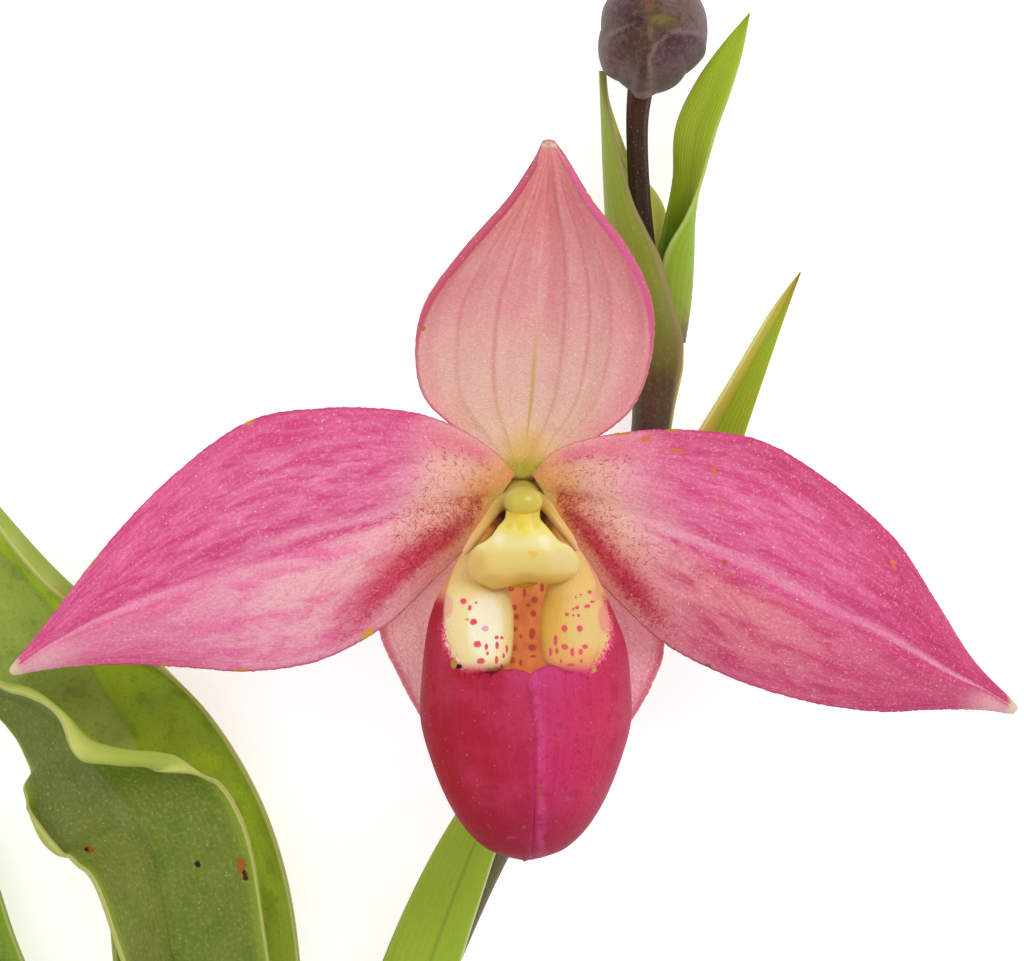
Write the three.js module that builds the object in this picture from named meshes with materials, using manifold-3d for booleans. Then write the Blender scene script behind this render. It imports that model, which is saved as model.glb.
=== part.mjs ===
// A phragmipedium orchid in flower, cut from its clump as one growth and laid on its side.
// The cut growth is a short stem with a fan of five clasping leaves, and from its heart a flower
// stem with four bracts, one open slipper flower and one bud. Lengths are millimetres, +Z is up
// from the surface it lies on, +Y runs from the cut base towards the flower, and the origin is the
// centre of the small flat under the cut base. Each organ is its own closed solid, and neighbours
// that touch in life keep a gap of about 0.3 mm.

import * as THREE from "three";
import { mergeVertices } from "three/addons/utils/BufferGeometryUtils.js";
import Module from "manifold-3d";

const wasm = await Module();
wasm.setup();

// Driving dimensions
const SEAT = 0.35; // gap left between two organs that touch in life
const PETAL_THICK = 0.7;
const LEAF_THICK = 0.75;
const BRACT_THICK = 0.6;
const POUCH_THICK = 0.7;
const SHIELD_THICK = 1.5;
const BASE_AXIS_HEIGHT = 8.0; // height of the leaf fan's axis over the surface
const SHEATH_INNER_RADIUS = 2.6; // mid-wall radius of the innermost leaf base
const SHEATH_STEP = 1.3; // each further leaf base is this much larger in radius
const BASE_RADIUS = 8.4;
const BASE_TOP = 4.4; // y where the cut base ends and the leaves begin
const SCAPE_RADIUS = 1.6;
const FLOWER_CENTRE = [17, 108, 22]; // top of the ovary, where the flower's organs meet
const RECEPTACLE_TOP = -2.2; // flower frame: flat top of the ovary
const RECEPTACLE_RADIUS = 2.4;
const BUD_CENTRE = [27.7, 145.6, 8.2];
const BUD_RADIUS = 4.3;
const BUD_LENGTH = 5.2; // half the length along its own axis

// Facets: steps along a blade or stem, columns across each half of a blade, sides round a stem
const LEAF_MESH = { steps: 24, columns: 4 };
const BRACT_MESH = { steps: 14, columns: 4 };
const PETAL_MESH = { steps: 20, columns: 5 };
const SCAPE_MESH = { steps: 26, sides: 10 };
const OVARY_MESH = { steps: 14, sides: 16 };
const BUD_MESH = { steps: 12, sides: 24 };
const POUCH_MESH = { turns: 40, wallRows: 10, rollRows: 7 };
const SHIELD_CELLS = 8;

const DEGREE = Math.PI / 180;
const TURN = 2 * Math.PI;

// ---------------------------------------------------------------- shared shape helpers

// Catmull-Rom curve through rows of numbers, at t from 0 to 1 along the list.
function along(rows, t) {
  const last = rows.length - 1;
  const place = Math.min(Math.max(t, 0), 1) * last;
  const i = Math.min(Math.floor(place), last - 1);
  const f = place - i;
  return rows[i].map((b, k) => {
    const c = rows[i + 1][k];
    const a = i > 0 ? rows[i - 1][k] : 2 * b - c;
    const d = i < last - 1 ? rows[i + 2][k] : 2 * c - b;
    const m0 = (c - a) / 2;
    const m1 = (d - b) / 2;
    return (
      b + m0 * f + (3 * (c - b) - 2 * m0 - m1) * f * f + (2 * (b - c) + m0 + m1) * f * f * f
    );
  });
}

// Unit direction of a centre line at t, whose rows start with [x, y, z].
function heading(rows, t) {
  const near = 0.01;
  const ahead = new THREE.Vector3(...along(rows, Math.min(t + near, 1)));
  const behind = new THREE.Vector3(...along(rows, Math.max(t - near, 0)));
  return ahead.sub(behind).normalize();
}

// 0 below the first edge, 1 above the second, smooth between them.
const smooth = (low, high, x) => THREE.MathUtils.smoothstep(x, low, high);

// Unit normals of a grid of points, from the differences along its two directions.
function gridNormals(grid, closed) {
  const rows = grid.length;
  const cols = grid[0].length;
  const pick = (i, j) => grid[i][closed ? (j + cols) % cols : Math.min(Math.max(j, 0), cols - 1)];
  return grid.map((row, i) =>
    row.map((_, j) => {
      const down = grid[Math.min(i + 1, rows - 1)][j].clone().sub(grid[Math.max(i - 1, 0)][j]);
      const across = pick(i, j + 1).clone().sub(pick(i, j - 1));
      return across.cross(down).normalize();
    }),
  );
}

// Geometry from points and index triples.
function geometryOf(points, faces) {
  const geometry = new THREE.BufferGeometry();
  geometry.setAttribute(
    "position",
    new THREE.Float32BufferAttribute(points.flatMap((p) => [p.x, p.y, p.z]), 3),
  );
  geometry.setIndex(faces.flat());
  return geometry;
}

// Closed solid between two grids of the same size: front face, back face and the rim round them.
// Both faces are split along the same diagonals, so a waved blade never crosses itself.
function gridSolid(front, back) {
  const rows = front.length;
  const cols = front[0].length;
  const points = [...front.flat(), ...back.flat()];
  const half = rows * cols;
  const faces = [];
  const quad = (a, b, c, d) => faces.push([a, b, c], [a, c, d]);
  for (let i = 0; i < rows - 1; i++)
    for (let j = 0; j < cols - 1; j++) {
      const [a, d] = [i * cols + j, (i + 1) * cols + j];
      const [b, c] = [a + 1, d + 1];
      quad(a, b, c, d);
      faces.push([half + a, half + c, half + b], [half + a, half + d, half + c]);
    }
  for (let j = 0; j < cols - 1; j++) {
    const top = (rows - 1) * cols + j;
    quad(j + 1, j, half + j, half + j + 1);
    quad(top, top + 1, half + top + 1, half + top);
  }
  for (let i = 0; i < rows - 1; i++) {
    const [a, b] = [i * cols, (i + 1) * cols];
    const [c, d] = [a + cols - 1, b + cols - 1];
    quad(a, b, half + b, half + a);
    quad(d, c, half + c, half + d);
  }
  return geometryOf(points, faces);
}

// A blade of even thickness round its mid-surface; what would sink below the surface is pressed flat.
function bladeSolid(grid, thickness, floor = -Infinity) {
  const normals = gridNormals(grid, false);
  const shifted = (side) =>
    grid.map((row, i) =>
      row.map((p, j) => {
        const q = p.clone().addScaledVector(normals[i][j], (side * thickness) / 2);
        q.z = Math.max(q.z, floor + (side < 0 ? 0 : thickness));
        return q;
      }),
    );
  return gridSolid(shifted(1), shifted(-1));
}

// Closed body through rings of points, each end closed by a fan round its centre.
function ringSolid(rings) {
  const sides = rings[0].length;
  const points = rings.flat();
  const faces = [];
  for (let i = 0; i < rings.length - 1; i++)
    for (let j = 0; j < sides; j++) {
      const k = (j + 1) % sides;
      const [a, b] = [i * sides + j, i * sides + k];
      faces.push([a, b, b + sides], [a, b + sides, a + sides]);
    }
  [rings[0], rings.at(-1)].forEach((ring, end) => {
    const centre = ring.reduce((sum, p) => sum.add(p), new THREE.Vector3()).divideScalar(sides);
    const hub = points.push(centre) - 1;
    const first = end ? (rings.length - 1) * sides : 0;
    for (let j = 0; j < sides; j++) {
      const k = (j + 1) % sides;
      faces.push(end ? [first + j, first + k, hub] : [first + k, first + j, hub]);
    }
  });
  return geometryOf(points, faces);
}

// Stem of round section: rows of [x, y, z, radius] along its centre line.
function stemSolid(rows, { steps, sides }, floor = -Infinity) {
  const rings = [];
  let side = new THREE.Vector3(1, 0, 0);
  for (let i = 0; i <= steps; i++) {
    const t = i / steps;
    const [x, y, z, radius] = along(rows, t);
    const tangent = heading(rows, t);
    side = side.clone().addScaledVector(tangent, -side.dot(tangent)).normalize();
    const up = tangent.clone().cross(side);
    rings.push(
      Array.from({ length: sides }, (_, j) => {
        const turn = (j / sides) * TURN;
        const p = new THREE.Vector3(x, y, z)
          .addScaledVector(side, radius * Math.cos(turn))
          .addScaledVector(up, radius * Math.sin(turn));
        p.z = Math.max(p.z, floor);
        return p;
      }),
    );
  }
  return ringSolid(rings);
}

// manifold-3d solid of a closed geometry, and back.
function solidOf(geometry) {
  const merged = mergeVertices(geometry, 1e-4);
  return new wasm.Manifold(
    new wasm.Mesh({
      numProp: 3,
      vertProperties: merged.attributes.position.array,
      triVerts: new Uint32Array(merged.index.array),
    }),
  );
}

function geometryFrom(solid) {
  const mesh = solid.getMesh();
  const points = [];
  for (let i = 0; i < mesh.vertProperties.length; i += mesh.numProp)
    points.push(new THREE.Vector3().fromArray(mesh.vertProperties, i));
  const faces = [];
  for (let i = 0; i < mesh.triVerts.length; i += 3) faces.push([...mesh.triVerts.slice(i, i + 3)]);
  return geometryOf(points, faces);
}

const plant = new THREE.Group();
const flower = new THREE.Group();
flower.position.set(...FLOWER_CENTRE);
plant.add(flower);

function place(group, name, geometry, colour, roughness) {
  const material = new THREE.MeshStandardMaterial({ color: colour, roughness, metalness: 0 });
  const mesh = new THREE.Mesh(geometry, material);
  mesh.name = name;
  group.add(mesh);
}

// ---------------------------------------------------------------- leaves and bracts

// A leaf or bract by stations along its midrib. Each station is
// [x, y, z, half width, keel, fold, roll, left curl, right curl], angles in degrees. Across a half,
// the blade starts off bent up by the keel, bends on evenly by the fold, and bends on again by its
// curl in the outer third. The roll turns it about the midrib: 0 faces up, 90 faces +X. The margins
// ripple by the wave's angle, as many times as there are waves along the blade.
const CURL_START = 0.6; // share of the half width where the curl sets in
const RIPPLE_LAG = 2; // radians that the left margin's ripple runs ahead of the right one's
function foldedBlade(stations, { steps, columns }, thickness, wave = 0, waves = 0) {
  const grid = [];
  for (let i = 0; i <= steps; i++) {
    const t = i / steps;
    const [x, y, z, half, keel, fold, roll, curlLeft, curlRight] = along(stations, t);
    const tangent = heading(stations, t);
    const flatRight = tangent.clone().cross(new THREE.Vector3(0, 0, 1)).normalize();
    const flatUp = flatRight.clone().cross(tangent);
    const [turnCos, turnSin] = [Math.cos(roll * DEGREE), Math.sin(roll * DEGREE)];
    const right = flatRight.clone().multiplyScalar(turnCos).addScaledVector(flatUp, -turnSin);
    const face = flatUp.clone().multiplyScalar(turnCos).addScaledVector(flatRight, turnSin);
    const side = (sign, curl) => {
      const points = [];
      const p = new THREE.Vector3(x, y, z);
      const ripple = wave * Math.sin(waves * t * TURN + (sign > 0 ? 0 : RIPPLE_LAG));
      for (let j = 0; j < columns; j++) {
        const w = (j + 0.5) / columns;
        const curled = curl * smooth(CURL_START, 1, w);
        const bend = (keel + fold * w + curled + ripple * w * w) * DEGREE;
        p.addScaledVector(right, (sign * half * Math.cos(bend)) / columns);
        p.addScaledVector(face, (half * Math.sin(bend)) / columns);
        points.push(p.clone());
      }
      return points;
    };
    grid.push([...side(-1, curlLeft).reverse(), new THREE.Vector3(x, y, z), ...side(1, curlRight)]);
  }
  return bladeSolid(grid, thickness, 0);
}

// A clasping leaf base: more than half a turn round the fan's axis, open away from its own side.
const LEAF_START = BASE_TOP + 2 * SEAT;
function sheath(order, side, y, wrap) {
  const radius = SHEATH_INNER_RADIUS + SHEATH_STEP * order;
  return [side * radius, y, BASE_AXIS_HEIGHT, radius * wrap * DEGREE, 0, wrap, -90 * side, 0, 0];
}

const LEAVES = {
  // Innermost leaf, on the left: bends over to the left at its top with the right margin curled in.
  leaf_front: {
    colour: 0x5f7d2c,
    wave: 8,
    waves: 3,
    stations: [
      sheath(0, -1, LEAF_START, 100),
      sheath(0, -1, 19, 92),
      [-5.6, 34, 8.6, 5.8, 26, 26, 72, 0, 0],
      [-8.6, 53, 8.6, 7.4, 26, 24, 48, 0, 0],
      [-11.8, 70.6, 9.0, 7.9, 24, 8, 28, 0, 0],
      [-13.1, 78.5, 9.4, 7.9, 18, 6, 20, 0, 20],
      [-14.6, 82.0, 9.4, 7.5, 18, 4, 4, 0, 70],
      [-17.0, 85.6, 9.0, 6.8, 22, 4, -32, 0, 105],
      [-20.8, 88.6, 8.6, 5.8, 28, 4, -52, 0, 80],
      [-24.8, 91.0, 8.4, 4.2, 26, 0, -68, 0, 60],
      [-29.0, 93.0, 7.6, 2.4, 16, 0, -60, 0, 30],
      [-32.6, 94.4, 7.0, 0.5, 10, 0, -30, 0, 0],
    ],
  },
  // Second leaf on the left: long, passes under the flower's left petal.
  leaf_back: {
    colour: 0x6b8f1f,
    wave: 4,
    waves: 2.5,
    stations: [
      sheath(2, -1, LEAF_START, 100),
      sheath(2, -1, 15, 90),
      [-8.4, 30, 5.6, 7.2, 28, 34, 70, 0, 0],
      [-9.4, 51, 3.2, 8.0, 20, 14, 30, 0, 0],
      [-9.2, 68, 2.2, 8.2, 18, 6, 8, 0, 0],
      [-10.6, 78.4, 2.2, 7.9, 18, 4, 4, 0, 10],
      [-14.6, 87.2, 2.4, 7.8, 16, 2, -2, 0, 40],
      [-18.6, 94.2, 2.8, 7.8, 20, 2, -20, 0, 80],
      [-23.0, 100.8, 3.0, 7.6, 26, 2, -40, 0, 90],
      [-31, 108.6, 3.0, 7.2, 24, 0, -32, 0, 70],
      [-43, 119.4, 2.4, 6.4, 18, 0, -12, 0, 40],
      [-56, 130.0, 1.4, 4.4, 10, 0, 0, 0, 0],
      [-68, 138, 0.3, 0.5, 4, 0, 0, 0, 0],
    ],
  },
  // Outermost leaf, on the left: lies along the surface.
  leaf_outer_left: {
    colour: 0x64851f,
    wave: 3,
    waves: 2,
    stations: [
      sheath(4, -1, LEAF_START, 100),
      sheath(4, -1, 12, 86),
      [-13, 26, 5.4, 8.6, 26, 34, 62, 0, 0],
      [-22, 46, 2.6, 8.6, 18, 10, 24, 0, 0],
      [-31.6, 66, 1.2, 8.6, 14, 2, 4, 0, 0],
      [-39, 85, 0.8, 8.2, 10, 0, 0, 0, 0],
      [-56, 100, 0.6, 7.0, 8, 0, 0, 0, 0],
      [-73, 110, 0.3, 4.4, 6, 0, 0, 0, 0],
      [-87, 116, 0.3, 0.5, 4, 0, 0, 0, 0],
    ],
  },
  // Inner leaf on the right.
  leaf_inner_right: {
    colour: 0x6b8c22,
    wave: 4,
    waves: 2,
    stations: [
      sheath(1, 1, LEAF_START, 100),
      sheath(1, 1, 17, 90),
      [9, 28, 7.0, 6.8, 28, 36, -72, 0, 0],
      [18, 39, 4.8, 7.8, 20, 14, -32, 0, 0],
      [31, 48, 2.8, 8.0, 16, 4, -8, 0, 0],
      [48, 53, 2.0, 7.6, 14, 0, 0, 0, 0],
      [66, 53, 1.2, 6.2, 10, 0, 0, 0, 0],
      [82, 49, 0.5, 3.6, 6, 0, 0, 0, 0],
      [93, 44, 0.3, 0.5, 4, 0, 0, 0, 0],
    ],
  },
  // Outer leaf on the right: lies along the surface.
  leaf_outer_right: {
    colour: 0x648420,
    wave: 3,
    waves: 2,
    stations: [
      sheath(3, 1, LEAF_START, 100),
      sheath(3, 1, 13, 86),
      [14, 19, 5.8, 8.4, 26, 36, -64, 0, 0],
      [26, 26, 2.8, 8.6, 18, 12, -26, 0, 0],
      [42, 30, 1.2, 8.6, 14, 2, -4, 0, 0],
      [62, 30, 0.8, 8.0, 10, 0, 0, 0, 0],
      [81, 26, 0.6, 6.4, 8, 0, 0, 0, 0],
      [98, 19, 0.3, 3.6, 6, 0, 0, 0, 0],
      [109, 13, 0.3, 0.5, 4, 0, 0, 0, 0],
    ],
  },
};

const LEAF_ROUGHNESS = 0.5;
for (const [name, leaf] of Object.entries(LEAVES)) {
  const blade = foldedBlade(leaf.stations, LEAF_MESH, LEAF_THICK, leaf.wave, leaf.waves);
  place(plant, name, blade, leaf.colour, LEAF_ROUGHNESS);
}

// ---------------------------------------------------------------- stems and bud

// Short stem that the leaves and the flower stem grow from, cut flat and pressed flat below.
const CUT_BASE = [
  [0, -5, BASE_AXIS_HEIGHT, BASE_RADIUS - 1.2],
  [0, -2.4, BASE_AXIS_HEIGHT, BASE_RADIUS - 0.2],
  [0, 1, BASE_AXIS_HEIGHT, BASE_RADIUS],
  [0, BASE_TOP, BASE_AXIS_HEIGHT, BASE_RADIUS - 0.3],
];
place(plant, "cut_base", stemSolid(CUT_BASE, { steps: 6, sides: 24 }, 0), 0xb9b27a, 0.7);

// Flower stem, [x, y, z, radius] from the base to the node under the bud.
const SCAPE = [
  [0, BASE_TOP + SEAT, BASE_AXIS_HEIGHT, 1.7],
  [0.2, 20, BASE_AXIS_HEIGHT, SCAPE_RADIUS],
  [1.6, 40, 6.8, SCAPE_RADIUS],
  [5.9, 58, 6.2, SCAPE_RADIUS],
  [12.9, 76, 5.6, SCAPE_RADIUS],
  [22.4, 94, 5.2, SCAPE_RADIUS],
  [25.6, 104, 5.0, SCAPE_RADIUS],
  [27.6, 113, 5.0, 1.05],
  [28.0, 118.5, 5.0, 0.95],
];
place(plant, "flower_stem", stemSolid(SCAPE, SCAPE_MESH), 0x4a3436, 0.7);

// What seats on the flower stem is cut back by the seat all round it.
const WIDE_SCAPE = SCAPE.map(([x, y, z, radius]) => [x, y, z, radius + SEAT]);
const scapeRoom = solidOf(stemSolid(WIDE_SCAPE, SCAPE_MESH));
const seatedOnScape = (geometry) => geometryFrom(solidOf(geometry).subtract(scapeRoom));

// Ovary of the open flower, rising from the flower stem to the flat top that carries the flower.
const OVARY = [
  [24.0, 98.0, 6.6, 1.2],
  [23.2, 100.0, 7.8, 1.35],
  [21.6, 102.8, 9.8, 1.6],
  [19.4, 105.6, 12.8, 1.9],
  [17.6, 107.4, 16.2, 2.1],
  [17, 108, 18.2, 2.3],
  [17, 108, FLOWER_CENTRE[2] + RECEPTACLE_TOP, RECEPTACLE_RADIUS],
];
place(plant, "flower_ovary", seatedOnScape(stemSolid(OVARY, OVARY_MESH)), 0x5a3a34, 0.75);

// Bud: blunt three-lobed egg that nods upwards on its ovary.
const BUD_LEAN = 14 * DEGREE; // its tip leans this far towards +Y from straight up
// Radius round the bud's widest part, every 15 degrees counterclockwise from its right.
const BUD_OUTLINE = [
  [4.4], [4.45], [4.5], [4.4], [4.3], [4.3], [4.3], [4.3], [4.4], [4.55], [4.4], [4.3], [4.4],
  [4.5], [4.7], [4.25], [4.4], [5.05], [4.5], [4.0], [3.9], [3.7], [4.0], [4.35], [4.4],
];
const BUD_BLUNTNESS = 0.85; // below 1 fills out the shoulders
const BUD_TAPER = 0.12; // share of the radius that the tip is narrower and the foot wider
function budSolid(swell) {
  const { steps, sides } = BUD_MESH;
  const rings = [];
  for (let i = 1; i < steps; i++) {
    const polar = (i / steps) * Math.PI;
    const rise = -Math.cos(polar);
    const girth = Math.sin(polar) ** BUD_BLUNTNESS * (1 - BUD_TAPER * rise);
    rings.push(
      Array.from({ length: sides }, (_, j) => {
        const turn = (j / sides) * TURN;
        const reach = girth * along(BUD_OUTLINE, j / sides)[0];
        return new THREE.Vector3(reach * Math.cos(turn), reach * Math.sin(turn), BUD_LENGTH * rise);
      }),
    );
  }
  const geometry = ringSolid(rings);
  geometry.scale(swell, swell, swell);
  geometry.rotateX(-BUD_LEAN);
  geometry.translate(...BUD_CENTRE);
  return geometry;
}
place(plant, "bud", budSolid(1), 0x5a4b55, 0.85);

// Ovary of the bud, from the flower stem's end up to the bud, cut back to the seat under it.
const BUD_OVARY = [
  [28.0, 118.5 + SEAT, 5.0, 1.0],
  [27.7, 124, 5.0, 0.95],
  [26.8, 132, 5.0, 0.95],
  [26.5, 138.6, 5.2, 1.05],
  [26.9, 143.0, 6.4, 1.3],
];
const budRoom = solidOf(budSolid(1 + SEAT / BUD_RADIUS));
const budOvary = solidOf(stemSolid(BUD_OVARY, { steps: 12, sides: 12 })).subtract(budRoom);
place(plant, "bud_ovary", geometryFrom(budOvary), 0x3c2319, 0.75);

// ---------------------------------------------------------------- bracts

const BRACTS = {
  // Sheathing bract halfway up the flower stem, lying over it.
  bract_stem: {
    colour: 0x86a021,
    stations: [
      [2.4, 45.6, 9.2, 4.4, 0, -112, 0, 0, 0],
      [4.4, 54, 9.0, 4.5, 0, -96, 2, 0, 0],
      [6.9, 62, 8.9, 4.2, 0, -60, 6, 0, 0],
      [9.4, 70, 8.8, 3.7, 0, -36, 8, 0, 0],
      [12.2, 77.5, 8.8, 3.0, 0, -26, 6, 0, 0],
      [14.8, 83.6, 8.9, 1.9, 0, -16, 2, 0, 0],
      [17.2, 88.6, 9.0, 0.35, 0, -4, 0, 0, 0],
    ],
  },
  // Bract under the open flower's ovary, folded along its keel and standing off to the right.
  bract_flower: {
    colour: 0x8fae1f,
    stations: [
      [25.4, 96.2, 3.6, 3.6, 0, 96, -50, 0, 0],
      [27.2, 100.6, 3.0, 3.5, 10, 62, -44, 0, 0],
      [30.0, 105.2, 3.6, 3.2, 26, 26, -20, 0, 0],
      [30.9, 109.4, 5.2, 3.3, 36, 10, 8, 0, 0],
      [32.4, 113.2, 6.8, 2.9, 42, 4, 24, 0, 0],
      [35.0, 118.0, 8.4, 1.8, 40, 0, 26, 0, 0],
      [37.3, 122.2, 9.4, 0.9, 30, 0, 20, 0, 0],
      [39.6, 126.2, 10.2, 0.3, 8, 0, 0, 0, 0],
    ],
  },
  // Lower of the two bracts under the bud: wraps the stem from the left and over the front.
  bract_upper_left: {
    colour: 0x7f9a28,
    stations: [
      [26.1, 111.8, 5.0, 3.6, 0, 150, 88, 0, 0],
      [26.5, 115.6, 5.0, 3.7, 0, 150, 86, 0, 0],
      [26.1, 118.4, 5.0, 5.0, 0, 128, 86, 0, 0],
      [25.6, 120.8, 5.1, 6.3, 0, 115, 87, 0, 0],
      [25.1, 124.4, 5.2, 6.1, 0, 104, 87, 0, 0],
      [24.5, 127.8, 5.2, 5.7, 0, 98, 88, 0, 0],
      [24.2, 130.4, 5.4, 4.7, 0, 90, 87, 0, 0],
      [24.05, 132.8, 5.6, 3.5, 0, 80, 87, 0, 0],
      [23.9, 136.0, 5.8, 2.6, 0, 60, 88, 0, 0],
      [23.8, 139.2, 6.0, 1.6, 0, 46, 84, 0, 0],
      [23.7, 142.6, 6.2, 0.35, 0, 0, 80, 0, 0],
    ],
  },
  // Upper one, inside it: clasps the bud's ovary from the right and stands off.
  bract_upper_right: {
    colour: 0x86ab1d,
    stations: [
      [30.2, 120.9, 5.0, 3.2, 0, 100, -88, 0, 0],
      [30.7, 124.4, 5.05, 3.8, 0, 100, -88, 0, 0],
      [30.9, 128.0, 5.05, 3.9, 0, 90, -84, 0, 0],
      [30.9, 131.2, 5.0, 2.8, 4, 50, -70, 0, 0],
      [31.0, 134.4, 5.1, 2.0, 6, 14, -54, 0, 0],
      [31.4, 138.2, 5.8, 1.9, 6, 6, -30, 0, 0],
      [32.7, 141.6, 6.6, 1.6, 6, 4, -20, 0, 0],
      [34.2, 144.8, 7.4, 0.95, 4, 0, -8, 0, 0],
      [35.6, 147.6, 8.0, 0.3, 2, 0, 0, 0, 0],
    ],
  },
};

for (const [name, bract] of Object.entries(BRACTS)) {
  const blade = seatedOnScape(foldedBlade(bract.stations, BRACT_MESH, BRACT_THICK));
  place(plant, name, blade, bract.colour, LEAF_ROUGHNESS);
}

// ---------------------------------------------------------------- sepals and petals

// A sepal or petal by cross rows from base to tip, in the flower's own frame. Each row is
// [x, y of the left margin, x, y of the midrib, x, y of the right margin, z of the midrib,
// z of the left margin, z of the right margin], left and right as seen from the base. Between
// midrib and margin the height follows the square of the distance. A groove runs along the midrib,
// fading out towards both ends.
const GROOVE_REACH = 0.16; // half width of the groove as a share of the blade's
function petalBlade(rows, groove) {
  const { steps, columns } = PETAL_MESH;
  const grid = [];
  for (let i = 0; i <= steps; i++) {
    const t = i / steps;
    const [lx, ly, mx, my, rx, ry, mz, lz, rz] = along(rows, t);
    const depth = groove * smooth(0, 0.1, t) * smooth(1, 0.7, t);
    const points = [];
    for (let j = -columns; j <= columns; j++) {
      const w = Math.abs(j) / columns;
      const [ex, ey, ez] = j < 0 ? [lx, ly, lz] : [rx, ry, rz];
      const z = mz + (ez - mz) * w * w - depth * Math.exp(-((w / GROOVE_REACH) ** 2));
      points.push(new THREE.Vector3(mx + (ex - mx) * w, my + (ey - my) * w, z));
    }
    grid.push(points);
  }
  return bladeSolid(grid, PETAL_THICK);
}

const PETALS = {
  dorsal_sepal: {
    colour: 0xdf8f9c,
    groove: 0.4,
    rows: [
      [-0.7, 2.05, 0.05, 2.0, 0.8, 2.05, -1.35, -1.35, -1.35],
      [-4.2, 4.8, 0.5, 5.2, 5.0, 4.3, -3.6, -2.7, -2.7],
      [-7.7, 8.0, 1.0, 8.4, 8.7, 7.2, -3.7, -1.4, -1.4],
      [-8.5, 11.9, 1.3, 12.2, 10.3, 11.3, -3.2, 0.0, 0.0],
      [-7.7, 15.9, 1.6, 16.2, 10.4, 15.8, -2.4, 1.2, 1.2],
      [-4.8, 20.0, 1.9, 20.4, 8.6, 20.0, -1.0, 2.3, 2.3],
      [-1.4, 23.8, 2.0, 24.2, 5.7, 23.8, 1.0, 2.9, 2.9],
      [0.8, 26.8, 2.1, 27.0, 3.8, 26.8, 2.8, 3.2, 3.2],
      [1.6, 28.2, 2.1, 28.3, 2.6, 28.2, 3.9, 4.0, 4.0],
    ],
  },
  synsepal: {
    colour: 0xe6a7ad,
    groove: 0.3,
    rows: [
      [1.5, -2.85, 0, -2.8, -1.5, -2.85, -3.4, -3.2, -3.2],
      [6.3, -4.8, 0.1, -5.6, -6.6, -4.8, -4.6, -4.0, -4.0],
      [10.5, -8.0, 0.2, -8.8, -11.0, -7.3, -5.8, -4.4, -4.4],
      [11.4, -11.8, 0.3, -12.2, -11.4, -10.6, -6.4, -4.4, -4.4],
      [10.4, -14.9, 0.4, -15.6, -9.9, -14.1, -6.8, -4.6, -4.6],
      [8.7, -17.9, 0.4, -18.8, -8.1, -17.5, -7.0, -5.2, -5.2],
      [6.3, -21.1, 0.5, -21.8, -5.7, -21.1, -7.0, -5.9, -5.9],
      [3.4, -24.0, 0.5, -24.5, -2.5, -24.0, -6.9, -6.6, -6.6],
      [1.4, -25.6, 0.5, -26.0, -0.4, -25.6, -6.8, -6.8, -6.8],
    ],
  },
  petal_left: {
    colour: 0xd25a8f,
    groove: 0.45,
    rows: [
      [-2.3, -1.9, -1.9, 0.2, -0.7, 2.15, -0.7, -1.0, -0.4],
      [-4.2, -3.6, -3.8, 0.1, -2.9, 4.1, -0.6, -0.9, -0.7],
      [-7.3, -6.6, -7.2, -0.5, -5.9, 6.1, 0.2, -1.1, -0.5],
      [-10.9, -10.0, -11.4, -1.4, -9.9, 7.15, 0.4, -1.8, -0.7],
      [-16.2, -12.8, -16.9, -3.0, -16.0, 7.3, 0.2, -2.7, -1.1],
      [-21.8, -13.7, -22.2, -4.6, -22.0, 6.2, -0.8, -3.8, -2.0],
      [-27.2, -13.4, -27.8, -6.7, -28.2, 1.7, -2.4, -5.0, -3.6],
      [-32.4, -13.2, -33.0, -8.9, -33.5, -3.8, -4.3, -6.2, -5.3],
      [-37.6, -13.55, -38.0, -11.6, -38.2, -9.8, -6.6, -7.5, -7.0],
      [-41.1, -14.2, -41.3, -13.9, -41.3, -13.5, -8.4, -8.4, -8.4],
    ],
  },
  petal_right: {
    colour: 0xd25a8f,
    groove: 0.45,
    rows: [
      [0.85, 2.15, 1.9, 0.5, 2.35, -1.9, -0.7, -0.4, -1.0],
      [3.2, 4.0, 3.4, 0.4, 3.8, -3.6, -0.6, -0.7, -0.9],
      [7.0, 5.2, 7.2, -0.6, 7.3, -6.8, 0.2, -0.5, -1.2],
      [12.2, 5.6, 12.6, -2.6, 11.5, -11.5, 0.4, -0.8, -1.8],
      [18.8, 4.8, 18.6, -5.4, 17.3, -14.4, -0.2, -1.4, -2.8],
      [24.4, 1.6, 24.6, -8.7, 23.2, -16.2, -1.7, -3.0, -4.2],
      [29.8, -3.0, 30.2, -11.6, 28.7, -17.0, -3.8, -5.0, -5.8],
      [33.3, -8.1, 34.3, -14.0, 33.2, -16.9, -6.2, -7.2, -7.4],
      [36.6, -13.1, 37.4, -15.5, 37.0, -17.0, -8.6, -9.2, -8.9],
      [40.1, -16.6, 40.1, -17.0, 39.7, -17.4, -9.9, -9.9, -9.9],
    ],
  },
};

for (const [name, petal] of Object.entries(PETALS))
  place(flower, name, petalBlade(petal.rows, petal.groove), petal.colour, 0.55);

// ---------------------------------------------------------------- pouch

// Cross sections of the pouch at heights below the flower's centre: [y, half width, back z, front z].
const POUCH_MIDDLE = 0.3; // x of the pouch's middle line
const POUCH_SECTIONS = [
  [-28.1, 0.5, 3.4, 4.4],
  [-27.8, 1.6, 2.4, 5.8],
  [-27.2, 3.0, 1.2, 7.2],
  [-25.8, 4.5, -0.1, 8.8],
  [-23.6, 5.9, -1.3, 10.3],
  [-20.7, 7.1, -2.0, 11.4],
  [-17.4, 8.0, -2.3, 11.8],
  [-14.2, 8.15, -2.3, 11.6],
  [-11.0, 7.7, -2.2, 10.9],
  [-7.9, 6.5, -2.0, 9.6],
  [-4.8, 4.6, -1.7, 7.6],
  [-2.0, 2.4, -1.3, 4.2],
];
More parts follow.
